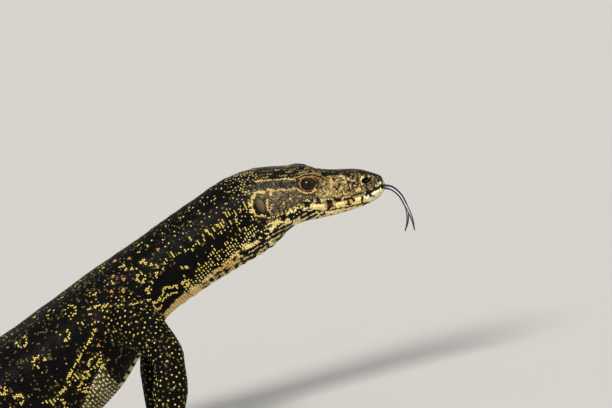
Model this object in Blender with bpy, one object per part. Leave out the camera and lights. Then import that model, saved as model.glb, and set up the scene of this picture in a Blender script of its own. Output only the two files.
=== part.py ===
"""A life-size still model of a water monitor lizard, about 1.2 m long.

The animal faces +X and its right side faces -Y. It stands on the floor at z = 0 with its forelegs
pushed straight, so that the trunk rises from low hips to high shoulders. Every size is in
millimetres until a mesh is made. The body is one loft along a centre line, read from stations, and
each node is a length of it. Limbs, feet and claws are lofts of their own, cut clear of what they
grow from.
"""

import math

import bmesh
import bpy
import numpy as np
from mathutils import Matrix, Vector

MM = 0.001
GAP = 0.3  # clearance between pieces that touch

# Driving sizes
EYE_HEIGHT = 158.0  # the eyes above the floor
SNOUT_TO_EYE = 49.5
EYE_RADIUS = 5.9
TAIL_TIP_AT = 1215.0  # snout to tail tip along the centre line

# Stations along the body. at: distance back from the snout; z: height of the centre line;
# pitch: degrees that the section leans back; side, up, down: half width and the two half heights;
# corner: 2 is an ellipse, more is squarer; lean: how much narrower the top is than the middle.
BODY_STATIONS = (
    (0.0, 147.0, 0.0, 1.4, 1.3, 1.3, 2.2, 0.00),
    (0.7, 147.0, 0.0, 4.2, 4.0, 4.2, 2.3, 0.03),
    (2.6, 147.0, 0.0, 6.9, 6.3, 6.8, 2.4, 0.06),
    (6.0, 147.2, 0.0, 9.1, 8.2, 9.3, 2.5, 0.10),
    (10.5, 148.0, 0.0, 10.6, 9.9, 11.7, 2.6, 0.14),
    (16.5, 148.6, 0.0, 11.5, 11.6, 13.7, 2.7, 0.16),
    (25.5, 149.0, 0.0, 12.4, 13.0, 15.3, 2.7, 0.18),
    (34.5, 149.6, 0.0, 14.0, 14.1, 16.6, 2.7, 0.20),
    (41.5, 150.6, 0.0, 15.8, 15.2, 17.7, 2.7, 0.20),
    (47.5, 151.8, 0.0, 17.4, 16.8, 18.9, 2.7, 0.20),
    (54.5, 152.8, 0.0, 19.2, 18.0, 19.7, 2.7, 0.19),
    (61.5, 152.8, 1.0, 21.0, 19.0, 20.2, 2.6, 0.18),
    (69.5, 151.6, 3.0, 22.6, 21.8, 21.9, 2.5, 0.16),
    (81.8, 149.0, 8.0, 24.0, 26.0, 26.2, 2.4, 0.12),
    (94.5, 146.0, 14.0, 24.2, 27.3, 28.0, 2.3, 0.09),
    (121.1, 136.5, 22.0, 24.0, 27.3, 27.2, 2.2, 0.07),
    (151.8, 125.0, 23.5, 24.6, 26.5, 26.5, 2.2, 0.06),
    (172.5, 116.9, 24.0, 27.0, 26.5, 27.0, 2.2, 0.06),
    (192.8, 108.6, 24.5, 31.5, 27.0, 31.5, 2.3, 0.06),
    (227.5, 94.0, 25.0, 39.0, 27.5, 45.6, 2.3, 0.05),
    (274.6, 73.8, 23.0, 44.5, 28.6, 52.4, 2.3, 0.05),
    (319.6, 57.9, 17.0, 47.0, 29.0, 49.0, 2.3, 0.05),
    (364.6, 47.6, 10.5, 45.0, 28.0, 42.5, 2.3, 0.06),
    (409.6, 42.0, 5.0, 39.0, 26.5, 36.0, 2.2, 0.08),
    (449.6, 40.0, 2.0, 31.5, 24.5, 31.0, 2.2, 0.10),
    (477.6, 38.6, 4.0, 26.0, 23.5, 27.0, 2.2, 0.14),
    (537.6, 31.0, 9.0, 20.5, 21.5, 22.0, 2.1, 0.22),
    (607.6, 19.6, 6.0, 16.5, 19.5, 19.9, 2.1, 0.30),
    (697.6, 15.6, 1.5, 13.2, 17.8, 16.0, 2.1, 0.36),
    (807.6, 13.0, 1.0, 10.2, 15.5, 13.4, 2.1, 0.38),
    (927.6, 10.0, 1.0, 7.4, 12.2, 10.4, 2.1, 0.38),
    (1047.6, 6.7, 1.0, 4.9, 8.6, 7.1, 2.1, 0.34),
    (1147.6, 3.9, 1.0, 2.8, 5.0, 4.3, 2.1, 0.26),
    (TAIL_TIP_AT, 1.6, 1.0, 1.1, 1.8, 1.8, 2.0, 0.10),
)
SWAY_FROM, SWAY, SWAY_TURNS = 330.0, 96.0, 0.95  # the rear trunk and tail curve from side to side

# The nodes of the body: name, where each starts and ends, rings and sides.
BODY_NODES = (
    ("neck", 97.0, 168.0, 9, 28),
    ("chest", 168.0, 300.0, 14, 28),
    ("belly_and_pelvis", 300.0, 478.0, 17, 28),
    ("tail_base", 478.0, 606.0, 10, 24),
    ("tail_middle", 606.0, 796.0, 12, 20),
    ("tail_rear", 796.0, 1006.0, 13, 16),
    ("tail_tip", 1006.0, TAIL_TIP_AT, 13, 12),
)
HEAD_SIDES = 32
SNOUT_RINGS = (0.0, 0.7, 2.0, 4.0, 6.6, 9.8)  # close together round the tip of the snout
HEAD_RINGS_FROM, HEAD_RINGS = 12.9, 28

# Places on the head, as x ahead of the eye and z above it
MOUTH_LINE = ((52.0, -11.9), (45.0, -13.3), (38.0, -14.5), (30.0, -14.9), (21.0, -15.3), (12.0, -14.8),
              (4.0, -13.2), (-3.0, -11.4), (-9.0, -10.6))
JAW_BACK = (-17.0, -48.0)  # where the cut behind the lower jaw leaves the throat
NOSTRIL_AT, NOSTRIL_RADII = (38.0, -5.9), (2.5, 1.7)
EAR_AT, EAR_RADII, EAR_TILT = (-33.4, -6.4), (3.5, 6.4), 14.0  # its top leans back by these degrees
BROW_AT, BROW_HEIGHT, ORBIT_PROUD = (-2.5, 11.0), 1.8, 2.4
EYE_SET_IN = 2.6  # how far the eyeball's middle is inside the plain side of the head
EAR_CUP, DRUM_DEPTH = (1.4, 4.6), 2.0  # the cup's middle outside the cheek, its depth, and the drum's
LID_OPENING = (4.9, 4.2)  # half length and half height of the opening between the lids
OPENING_DEPTH = 2.6
LID_HALF, LID_PROUD, LID_POINT = (1.3, 1.5), 1.4, 0.2  # the lids' section, place and pointed ends

# The tongue's route, as x ahead of the eye and z above it, with its half width and half height
TONGUE_ROUTE = ((39.5, -12.7, 2.0, 1.75), (47.4, -13.1, 2.0, 1.75), (53.4, -15.2, 1.9, 1.65),
                (58.0, -20.6, 1.8, 1.5), (60.8, -28.8, 1.6, 1.3))
TINE_ROUTE = ((60.2, -26.4, 0.85, 1.05), (62.0, -33.4, 0.85, 1.0), (62.9, -40.0, 0.7, 0.8),
              (62.9, -45.9, 0.3, 0.35))
TINE_ROOT_OUT, TINE_SPREAD = 0.62, 3.4  # sideways, at the fork and at the tips
LEFT_TINE_BACK = 6.2  # how far the left tip is behind the right one

# Limbs. station: where on the body; each joint as ahead, out from the middle, and height.
LIMBS = {
    "front_right": {"station": 195.0, "root": (-4.0, 6.0, 103.0), "top": (0.0, 25.0, 99.0),
                    "bend": (25.5, 63.0, 75.0), "end": (13.5, 74.0, 15.5), "heading": 10.0},
    "front_left": {"station": 195.0, "root": (-4.0, 6.0, 103.0), "top": (0.0, 25.0, 99.0),
                   "bend": (12.0, 64.0, 72.0), "end": (3.0, 77.0, 15.5), "heading": 14.0},
    "hind_right": {"station": 447.0, "root": (-2.0, 4.0, 41.0), "top": (3.0, 20.0, 42.0),
                   "bend": (34.0, 76.0, 49.0), "end": (-10.0, 98.0, 15.5), "heading": 34.0},
    "hind_left": {"station": 447.0, "root": (-2.0, 4.0, 41.0), "top": (5.0, 20.0, 42.0),
                  "bend": (46.0, 70.0, 50.0), "end": (12.0, 101.0, 15.5), "heading": 26.0},
}
# Radii of the upper limb at its root, shoulder or hip, middle and bend, and of the lower limb at the
# bend, its fullest place, low down and at the end
LIMB_RADII = {
    "front": ((17.0, 17.5, 14.5, 11.8), (11.2, 12.2, 9.0, 7.4)),
    "hind": ((20.0, 20.0, 17.0, 12.4), (11.8, 13.0, 9.2, 7.8)),
}
# The palm or sole: length behind and ahead of the limb's end, half width and half height
PALM = {"front": (7.0, 17.0, 10.5, 5.4), "hind": (8.0, 27.0, 11.0, 5.8)}
# Toes: start ahead and out, angle outwards in degrees, length
TOES = {
    "front": ((8.0, -7.5, -52.0, 18.0), (13.0, -5.0, -22.0, 24.0), (14.5, 0.0, 2.0, 28.0),
              (13.0, 5.0, 25.0, 29.0), (6.0, 7.5, 62.0, 20.0)),
    "hind": ((20.0, -7.5, -42.0, 19.0), (24.0, -4.5, -20.0, 28.0), (24.5, 0.0, 0.0, 36.0),
             (23.0, 4.5, 20.0, 44.0), (8.0, 8.0, 58.0, 26.0)),
}
TOE_RADIUS, TOE_TIP_RADIUS = 3.6, 2.5
TOE_SWELL = (1.0, 0.9, 1.1, 0.9, 1.08, 0.94, 0.8)  # knuckles, then narrower where the claw starts
CLAW_LENGTH, CLAW_HALF = 10.5, (1.3, 1.8)
SOLE_SINK = 0.7  # how far the round toes and palms are cut off to stand flat

COLOURS = {
    "hide": (0.030, 0.028, 0.022),
    "eye": (0.02, 0.012, 0.008),
    "eardrum": (0.09, 0.08, 0.06),
    "tongue": (0.02, 0.02, 0.05),
    "claw": (0.05, 0.045, 0.035),
}
ROUGHNESS = {"hide": 0.5, "eye": 0.08, "eardrum": 0.5, "tongue": 0.2, "claw": 0.3}


def smooth_rows(keys, rows, at):
    """Rows of numbers read along a smooth curve through the rows that stand at keys."""
    keys, rows = np.asarray(keys, float), np.asarray(rows, float)
    step = np.diff(keys)
    slope = np.diff(rows, axis=0) / step[:, None]
    before, after = step[:-1, None], step[1:, None]
    middle = (slope[:-1] * after + slope[1:] * before) / (before + after)
    tangent = np.vstack([slope[:1], middle, slope[-1:]])
    at = np.clip(np.atleast_1d(at), keys[0], keys[-1])
    i = np.clip(np.searchsorted(keys, at) - 1, 0, len(step) - 1)
    h = step[i][:, None]
    t = ((at - keys[i]) / step[i])[:, None]
    start = rows[i] * (2 * t**3 - 3 * t**2 + 1) + tangent[i] * h * (t**3 - 2 * t**2 + t)
    end = rows[i + 1] * (3 * t**2 - 2 * t**3) + tangent[i + 1] * h * (t**3 - t**2)
    return start + end


def sway(at):
    """How far the centre line is to the left, at these distances from the snout."""
    u = np.clip((np.asarray(at, float) - SWAY_FROM) / (TAIL_TIP_AT - SWAY_FROM), 0, 1)
    return SWAY * u**0.8 * np.sin(2 * math.pi * SWAY_TURNS * u)


def centre_line():
    """Distances from the snout, and the centre line's points there, x being ahead of the eyes."""
    at = np.arange(0.0, TAIL_TIP_AT + 0.5, 1.0)
    keys = [row[0] for row in BODY_STATIONS]
    z = smooth_rows(keys, [row[1:2] for row in BODY_STATIONS], at)[:, 0]
    y = sway(at)
    forward = np.sqrt(np.clip(1.0 - np.diff(y) ** 2 - np.diff(z) ** 2, 0.2, 1.0))
    x = SNOUT_TO_EYE - np.concatenate([[0.0], np.cumsum(forward)])
    return at, np.stack([x, y, z], 1)


LINE_AT, LINE = centre_line()


def body_frame(at):
    """Centre, the directions to the right side, up and ahead, and the other columns, at a station."""
    centre = np.array([np.interp(at, LINE_AT, LINE[:, i]) for i in range(3)])
    row = smooth_rows([r[0] for r in BODY_STATIONS], [r[2:] for r in BODY_STATIONS], at)[0]
    yaw = math.atan2(float(sway(at - 1.0) - sway(at + 1.0)), 2.0)
    pitch = math.radians(row[0])
    ahead = np.array([math.cos(yaw) * math.cos(pitch), math.sin(yaw) * math.cos(pitch), math.sin(pitch)])
    right = np.array([math.sin(yaw), -math.cos(yaw), 0.0])
    return centre, right, np.cross(right, ahead), ahead, row[1:]


def section_points(sides, side, up, down, corner, lean):
    """Offsets to the right and up round one section of the body."""
    angle = np.arange(sides) * 2 * math.pi / sides
    c, s = np.cos(angle), np.sin(angle)
    across = np.sign(c) * np.abs(c) ** (2 / corner) * side
    rise = np.abs(s) ** (2 / corner)
    across = across * np.where(s > 0, 1 - lean * rise, 1.0)
    return across, np.where(s > 0, rise * up, -rise * down)


def bump(distance_x, distance_z, wide_x, wide_z):
    return np.exp(-((distance_x / wide_x) ** 2) - (distance_z / wide_z) ** 2)


def mouth_height(x):
    """Height of the mouth line, relative to the eye, at x ahead of it."""
    line = MOUTH_LINE[::-1]
    return np.interp(x, [p[0] for p in line], [p[1] for p in line])


def head_relief(x, y, z):
    """How far the head stands out from its plain loft at points given from between the eyes."""
    away = np.clip(np.abs(y) / 9.0, 0, 1) ** 2
    brow = BROW_HEIGHT * bump(x - BROW_AT[0], z - BROW_AT[1], 10.0, 4.0)
    canthus = 0.7 * bump(x - 20.0, z + 0.5, 14.0, 2.6)
    jowl = 1.8 * bump(x + 23.0, z + 9.0, 11.0, 10.0)
    nostril = 0.7 * bump(x - NOSTRIL_AT[0], z - NOSTRIL_AT[1], 4.5, 3.6)
    in_mouth = np.clip((x + 10.0) / 8.0, 0, 1)
    lips = 0.7 * in_mouth * (np.exp(-((z - mouth_height(x) - 2.6) / 2.0) ** 2)
                             + np.exp(-((z - mouth_height(x) + 2.4) / 1.8) ** 2))
    orbit = ORBIT_PROUD * bump(x + 0.5, z - 2.5, 11.0, 7.5)
    return away * (brow + canthus + jowl + nostril + lips + orbit)


def body_rings(stations, sides, grow=0.0):
    """Rings of points round the body at these stations, each grown outwards."""
    rings = []
    for at in stations:
        centre, right, upward, _, (side, up, down, corner, lean) = body_frame(at)
        across, rise = section_points(sides, side + grow, up + grow, down + grow, corner, lean)
        ring = centre + np.outer(across, right) + np.outer(rise, upward)
        if at < 100.0:
            z = ring[:, 2] - EYE_HEIGHT
            out = np.outer(across, right) + np.outer(rise, upward)
            length = np.maximum(np.linalg.norm(out, axis=1), 1e-6)[:, None]
            ring = ring + out / length * head_relief(ring[:, 0], ring[:, 1], z)[:, None]
        if at > 500.0:
            ring[:, 2] = np.maximum(ring[:, 2], -grow)
        rings.append(ring)
    return rings


def material(name):
    found = bpy.data.materials.get(name)
    if found:
        return found
    made = bpy.data.materials.new(name)
    made.use_nodes = True
    shader = made.node_tree.nodes["Principled BSDF"]
    shader.inputs["Base Color"].default_value = (*COLOURS[name], 1.0)
    shader.inputs["Roughness"].default_value = ROUGHNESS[name]
    shader.inputs["Metallic"].default_value = 0.0
    return made


def mesh_object(name, bm, look):
    """An object from a bmesh in millimetres, triangulated, with its faces pointing out."""
    bmesh.ops.scale(bm, vec=(MM, MM, MM), verts=bm.verts)
    bmesh.ops.recalc_face_normals(bm, faces=bm.faces)
    bmesh.ops.triangulate(bm, faces=bm.faces)
    mesh = bpy.data.meshes.new(name)
    bm.to_mesh(mesh)
    bm.free()
    mesh.materials.append(material(look))
    mesh.shade_smooth()
    mesh.set_sharp_from_angle(angle=math.radians(40))
    made = bpy.data.objects.new(name, mesh)
    bpy.context.scene.collection.objects.link(made)
    return made


def loft(name, rings, look):
    """A closed body through rings of points, with a fan over each end."""
    bm = bmesh.new()
    rows = [[bm.verts.new(p) for p in ring] for ring in rings]
    for a, b in zip(rows, rows[1:]):
        for i in range(len(a)):
            j = (i + 1) % len(a)
            bm.faces.new((a[i], a[j], b[j], b[i]))
    for row in (rows[0], rows[-1]):
        middle = bm.verts.new(sum((v.co for v in row), Vector()) / len(row))
        for i in range(len(row)):
            bm.faces.new((middle, row[i], row[(i + 1) % len(row)]))
    return mesh_object(name, bm, look)


def largest_shell(obj):
    """Keeps the largest closed surface of an object's mesh."""
    bm = bmesh.new()
    bm.from_mesh(obj.data)
    left, shells = set(bm.verts), []
    while left:
        stack = [left.pop()]
        shell = set(stack)
        while stack:
            for edge in stack.pop().link_edges:
                for v in edge.verts:
                    if v not in shell:
                        shell.add(v)
                        stack.append(v)
        left -= shell
        shells.append(shell)
    keep = max(shells, key=len)
    bmesh.ops.delete(bm, geom=[v for v in bm.verts if v not in keep], context="VERTS")
    bmesh.ops.dissolve_degenerate(bm, dist=1e-6, edges=bm.edges)
    bmesh.ops.triangulate(bm, faces=bm.faces)
    bm.to_mesh(obj.data)
    bm.free()


def combine(obj, others, operation):
    """Applies one Boolean with a collection of closed objects, which are then removed."""
    group = bpy.data.collections.new("pieces")
    bpy.context.scene.collection.children.link(group)
    for other in others:
        group.objects.link(other)
    cut = obj.modifiers.new(operation.lower(), "BOOLEAN")
    cut.operation, cut.operand_type, cut.collection, cut.solver = operation, "COLLECTION", group, "EXACT"
    seen = obj.evaluated_get(bpy.context.evaluated_depsgraph_get())
    mesh = bpy.data.meshes.new_from_object(seen)
    obj.modifiers.clear()
    obj.data = mesh
    for other in others:
        bpy.data.objects.remove(other)
    bpy.data.collections.remove(group)
    mesh.shade_smooth()
    mesh.set_sharp_from_angle(angle=math.radians(40))
    largest_shell(obj)
    return obj


def ball(name, centre, radii, look, turn=None, segments=16, rings=10):
    """An ellipsoid with these three radii, turned by a matrix."""
    bm = bmesh.new()
    bmesh.ops.create_uvsphere(bm, u_segments=segments, v_segments=rings, radius=1.0)
    bmesh.ops.scale(bm, vec=radii, verts=bm.verts)
    if turn is not None:
        bmesh.ops.transform(bm, matrix=turn, verts=bm.verts)
    bmesh.ops.translate(bm, vec=centre, verts=bm.verts)
    return mesh_object(name, bm, look)


def prism(name, outline, half_width):
    """A closed prism across the body from an outline of x and z in the world."""
    bm = bmesh.new()
    near = [bm.verts.new((x, -half_width, z)) for x, z in outline]
    far = [bm.verts.new((x, half_width, z)) for x, z in outline]
    bm.faces.new(near)
    bm.faces.new(far[::-1])
    for i in range(len(outline)):
        j = (i + 1) % len(outline)
        bm.faces.new((near[i], near[j], far[j], far[i]))
    return mesh_object(name, bm, "hide")


def half_width_at(x, z):
    """The head's half width at x ahead of the eye and z above it, before its relief."""
    _, _, _, _, (side, up, down, corner, lean) = body_frame(SNOUT_TO_EYE - x)
    centre_z = np.interp(SNOUT_TO_EYE - x, LINE_AT, LINE[:, 2]) - EYE_HEIGHT
    rise = z - centre_z
    share = min(abs(rise) / (up if rise > 0 else down), 0.98)
    wide = side * (1 - share**corner) ** (1 / corner)
    return wide * (1 - lean * share) if rise > 0 else wide


def beside_head(x, z, side, proud=0.0):
    """A point on the head's side, proud of it or, where negative, inside it."""
    return Vector((x, side * (half_width_at(x, z) + proud), EYE_HEIGHT + z))


def jaw_prism(name, lift):
    """Everything below the mouth line and ahead of the back of the lower jaw."""
    line = [(x, EYE_HEIGHT + z + lift) for x, z in MOUTH_LINE]
    corner_x, corner_z = line[-1]
    line[-1] = (corner_x - lift, corner_z)
    back = (JAW_BACK[0] - lift, EYE_HEIGHT + JAW_BACK[1])
    front = (MOUTH_LINE[0][0] + 20.0, line[0][1])
    return prism(name, [front, *line, back, (front[0], back[1])], 40.0)


def tube_rings(points, halves, sides, side_axis=None, grow=0.0):
    """Rings along a route. halves: half width and half height at each point of it."""
    points = np.asarray(points, float)
    tangent = np.gradient(points, axis=0)
    tangent /= np.linalg.norm(tangent, axis=1)[:, None]
    across = np.array(side_axis if side_axis is not None else (0.0, 1.0, 0.0), float)
    frames = []
    for t in tangent[::-1]:
        across = across - across.dot(t) * t
        across = across / np.linalg.norm(across)
        frames.append(across)
    frames = frames[::-1]
    angle = np.arange(sides) * 2 * math.pi / sides
    rings = []
    for p, t, right, (wide, high) in zip(points, tangent, frames, halves):
        upward = np.cross(right, t)
        rings.append(p + np.outer(np.cos(angle) * (wide + grow), right)
                     + np.outer(np.sin(angle) * (high + grow), upward))
    return rings


def route(points, sizes, count):
    """Points and sizes at even steps along a smooth curve through these points."""
    points, sizes = np.asarray(points, float), np.asarray(sizes, float)
    keys = np.concatenate([[0.0], np.cumsum(np.linalg.norm(np.diff(points, axis=0), axis=1))])
    at = np.linspace(0.0, keys[-1], count)
    both = smooth_rows(keys, np.hstack([points, sizes]), at)
    return both[:, :3], both[:, 3:]


def rounded_end(points, sizes, grow=0.0):
    """Adds a round end past the last point of a route of round sections."""
    ahead = points[-1] - points[-2]
    ahead = ahead / np.linalg.norm(ahead)
    radius = sizes[-1][0]
    extra = [(math.sin(a), math.cos(a)) for a in (math.radians(35), math.radians(62), math.radians(82))]
    reach = (radius + grow) / (radius + 1e-9)
    tail = [points[-1] + ahead * radius * s * reach for s, _ in extra]
    shrink = [np.array([radius * c + grow * (c - 1)] * 2) for _, c in extra]
    return np.vstack([points, tail]), np.vstack([sizes, shrink])


def limb_place(limb, key):
    """A joint of a limb in the world, from its place ahead of and out from the body's middle."""
    spec = LIMBS[limb]
    centre, right, _, ahead, _ = body_frame(spec["station"])
    flat = np.array([ahead[0], ahead[1], 0.0]) / math.hypot(ahead[0], ahead[1])
    out = right if limb.endswith("right") else -right
    forward, outward, height = spec[key]
    place = centre + flat * forward + out * outward
    return np.array([place[0], place[1], height]), flat, out


def upper_limb(limb, grow=0.0, sides=14):
    radii = LIMB_RADII[limb.split("_")[0]][0]
    root, top, bend = (limb_place(limb, key)[0] for key in ("root", "top", "bend"))
    middle = (top + bend) / 2 + np.array([0.0, 0.0, 1.5])
    points, sizes = route([root, top, middle, bend], [(r, r) for r in radii], 8)
    points, sizes = rounded_end(points, sizes, grow)
    return tube_rings(points, sizes, sides, (0.2, 0.1, 1.0), grow)


def lower_limb(limb, grow=0.0, sides=12):
    radii = LIMB_RADII[limb.split("_")[0]][1]
    bend, end = (limb_place(limb, key)[0] for key in ("bend", "end"))
    flat = limb_place(limb, "bend")[1]
    run = end - bend
    full = bend + run * 0.25 + flat * 1.0
    low = bend + run * 0.75
    stretch = run / np.linalg.norm(run) * grow
    points, sizes = route([bend, full, low, end + stretch], [(r, r) for r in radii], 8)
    reverse = rounded_end(points[::-1], sizes[::-1], grow)
    return tube_rings(reverse[0][::-1], reverse[1][::-1], sides, (1.0, 0.3, 0.0), grow)


def foot_axes(limb):
    """The foot's own directions: ahead along it, and outwards across it."""
    _, flat, out = limb_place(limb, "end")
    turn = math.radians(LIMBS[limb]["heading"])
    return (flat * math.cos(turn) + out * math.sin(turn),
            out * math.cos(turn) - flat * math.sin(turn))


def toe_route(limb, toe, extra=0.0):
    """A toe's middle line, from inside the palm to its flat end, with its radii."""
    end = limb_place(limb, "end")[0]
    ahead, across = foot_axes(limb)
    forward, outward, angle, length = toe
    turn = math.radians(angle)
    along = ahead * math.cos(turn) + across * math.sin(turn)
    start = end * (1, 1, 0) + ahead * forward + across * outward
    shares = (0.0, 0.22, 0.48, 0.74, 1.0)
    radii = [TOE_RADIUS + (TOE_TIP_RADIUS - TOE_RADIUS) * s for s in shares]
    lift = (0.0, 0.9, 1.6, 0.9, 0.7)
    points = [start + along * (length * s + (extra if s == 1.0 else 0.0))
              + np.array([0.0, 0.0, r - SOLE_SINK + h]) for s, r, h in zip(shares, radii, lift)]
    return points, [(r, r * 0.95) for r in radii], along


def toe_rings(limb, toe, sides=7):
    points, sizes, along = toe_route(limb, toe)
    points, sizes = route(points, sizes, len(TOE_SWELL))
    sizes = sizes * np.array(TOE_SWELL)[:, None]
    return tube_rings(points, sizes, sides, np.cross(along, (0.0, 0.0, 1.0)))


def palm_rings(limb, sides=11):
    end = limb_place(limb, "end")[0]
    ahead, across = foot_axes(limb)
    behind, forward, wide, high = PALM[limb.split("_")[0]]
    shares = np.radians(np.linspace(-80, 80, 7))
    middle, half = (forward - behind) / 2, (forward + behind) / 2
    points = [end * (1, 1, 0) + ahead * (middle + half * math.sin(a))
              + np.array([0.0, 0.0, high - SOLE_SINK - 0.9 * (1 + math.sin(a))]) for a in shares]
    sizes = [(wide * math.cos(a) ** 0.6, high * math.cos(a) ** 0.7) for a in shares]
    return tube_rings(points, sizes, sides, across)


def ankle_rings(limb, sides=11):
    """Joins the palm to the lower limb, from a little inside that limb, which is then cut away."""
    radius = LIMB_RADII[limb.split("_")[0]][1][-1]
    bend, end = (limb_place(limb, key)[0] for key in ("bend", "end"))
    down = (end - bend) / np.linalg.norm(end - bend)
    ahead, _ = foot_axes(limb)
    foot = (end + down * 6.0) * (1, 1, 0) + ahead * 4.0 + np.array([0.0, 0.0, 6.0])
    points = [end - down * 2.0, end + down * 3.0, foot]
    return tube_rings(points, [(radius, radius), (radius * 0.97,) * 2, (radius, 4.0)], sides,
                      (1.0, 0.3, 0.0))


def floor_block(name):
    """The space below the floor."""
    return prism(name, [(200.0, 0.0), (-1400.0, 0.0), (-1400.0, -60.0), (200.0, -60.0)], 400.0)


def make_foot(limb):
    foot = loft(f"{limb}_foot", palm_rings(limb), "hide")
    pieces = [loft("ankle", ankle_rings(limb), "hide")]
    pieces += [loft("toe", toe_rings(limb, toe), "hide") for toe in TOES[limb.split("_")[0]]]
    combine(foot, pieces, "UNION")
    return combine(foot, [floor_block("floor"), loft("leg", lower_limb(limb, GAP), "hide")], "DIFFERENCE")


def make_claw(limb, number, toe):
    """A curved claw, its base face to face with the toe's flat end."""
    points, _, along = toe_route(limb, toe, GAP)
    base = points[-1]
    wide, high = CLAW_HALF
    steps = ((0.0, 0.0, 1.0), (0.35, 0.45, 0.9), (0.72, -0.5, 0.56), (1.0, -2.25, 0.10))
    route_points = [base + along * (CLAW_LENGTH * s) + np.array([0.0, 0.0, h]) for s, h, _ in steps]
    sizes = [(wide * k, high * k) for _, _, k in steps]
    rings = tube_rings(route_points, sizes, 6, np.cross(along, (0.0, 0.0, 1.0)))
    flat = base + np.outer(np.cos(np.arange(6) * math.pi / 3) * wide, np.cross(along, (0.0, 0.0, 1.0)))
    flat = flat + np.outer(np.sin(np.arange(6) * math.pi / 3) * high, np.array([0.0, 0.0, 1.0]))
    rings[0] = flat
    rings = [np.maximum(ring, (-1e9, -1e9, 0.25)) for ring in rings]
    return loft(f"{limb}_claw_{number}", rings, "claw")


def make_limb(limb):
    kind = {"front": ("upper_arm", "forearm"), "hind": ("thigh", "shin")}[limb.split("_")[0]]
    upper = loft(f"{limb}_{kind[0]}", upper_limb(limb), "hide")
    reach = 70.0
    station = LIMBS[limb]["station"]
    stations = [at for at in cut_stations() if abs(at - station) < reach]
    combine(upper, [loft("body", body_rings(stations, 28, GAP), "hide")], "DIFFERENCE")
    lower = loft(f"{limb}_{kind[1]}", lower_limb(limb), "hide")
    combine(lower, [loft("upper", upper_limb(limb, GAP), "hide")], "DIFFERENCE")
    made = [upper, lower, make_foot(limb)]
    for number, toe in enumerate(TOES[limb.split("_")[0]], 1):
        made.append(make_claw(limb, number, toe))
    return made


def node_stations(start, end, rings):
    """Stations of one body node, which stops half a gap short of its neighbours."""
    inner = np.linspace(start, end, rings)
    inner[0] += GAP / 2
    if end < TAIL_TIP_AT:
        inner[-1] -= GAP / 2
    return list(inner)


def cut_stations():
    return [at for _, start, end, rings, _ in BODY_NODES for at in node_stations(start, end, rings)]


def make_body():
    return [loft(name, body_rings(node_stations(start, end, rings), sides), "hide")
            for name, start, end, rings, sides in BODY_NODES]


def head_stations():
    """Close together at the snout's tip, even behind it, up to where the neck starts."""
    end = BODY_NODES[0][1] - GAP / 2
    return [*SNOUT_RINGS, *np.linspace(HEAD_RINGS_FROM, end, HEAD_RINGS)]


def eye_turn(side):
    """Turns a ball's +Z to the eye's own axis, which points out, a little ahead and up."""
    return Vector((0.24, side, 0.24)).to_track_quat("Z", "Y").to_matrix().to_4x4()


def make_lids(side):
    """The raised ring of the lids round one eye, pointed in front and behind."""
    middle = beside_head(0.0, 0.2, side, LID_PROUD)
    turn = eye_turn(side)
    half_width, half_depth = LID_HALF
    around, section = 18, 5
    bm = bmesh.new()
    rows = []
    for i in range(around):
        a = 2 * math.pi * i / around
        point = 1 + LID_POINT * abs(math.cos(a)) ** 5
        row = []
        for k in range(section):
            b = 2 * math.pi * k / section
            reach = half_width * (1 + math.cos(b))
            place = Vector(((LID_OPENING[0] * point + reach) * math.cos(a),
                            (LID_OPENING[1] + reach) * math.sin(a), half_depth * math.sin(b)))
            row.append(bm.verts.new(turn @ place + middle))
        rows.append(row)
    for i in range(around):
        a, b = rows[i], rows[(i + 1) % around]
        for k in range(section):
            j = (k + 1) % section
            bm.faces.new((a[k], a[j], b[j], b[k]))
    return mesh_object("lids", bm, "hide")


def tongue_pieces(grow=0.0):
    """The tongue up to its fork, and its two tines."""
    steps = [(0.0, 8), (1.0, 6), (-1.0, 6)]
    made = []
    for tine, count in steps:
        rows = TINE_ROUTE if tine else TONGUE_ROUTE
        points = []
        for i, (x, z, _, _) in enumerate(rows):
            apart = (i / (len(rows) - 1)) ** 1.5
            out = tine * (TINE_ROOT_OUT + (TINE_SPREAD - TINE_ROOT_OUT) * apart)
            back = LEFT_TINE_BACK * apart if tine > 0 else 0.0
            points.append((x - back, out, EYE_HEIGHT + z))
        points, sizes = route(points, [row[2:] for row in rows], count)
        if not tine and grow:
            points[0] = points[0] - np.array([grow, 0.0, 0.0])
        made.append(loft("tongue", tube_rings(points, sizes, 7, (0.0, 1.0, 0.0), grow), "tongue"))
    return made


def make_tongue():
    stem, *tines = tongue_pieces()
    return combine(stem, tines, "UNION")


def tongue_slot():
    """The room in the mouth for the tongue's root."""
    stem, *tines = tongue_pieces(GAP)
    for tine in tines:
        bpy.data.objects.remove(tine)
    return stem


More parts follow.
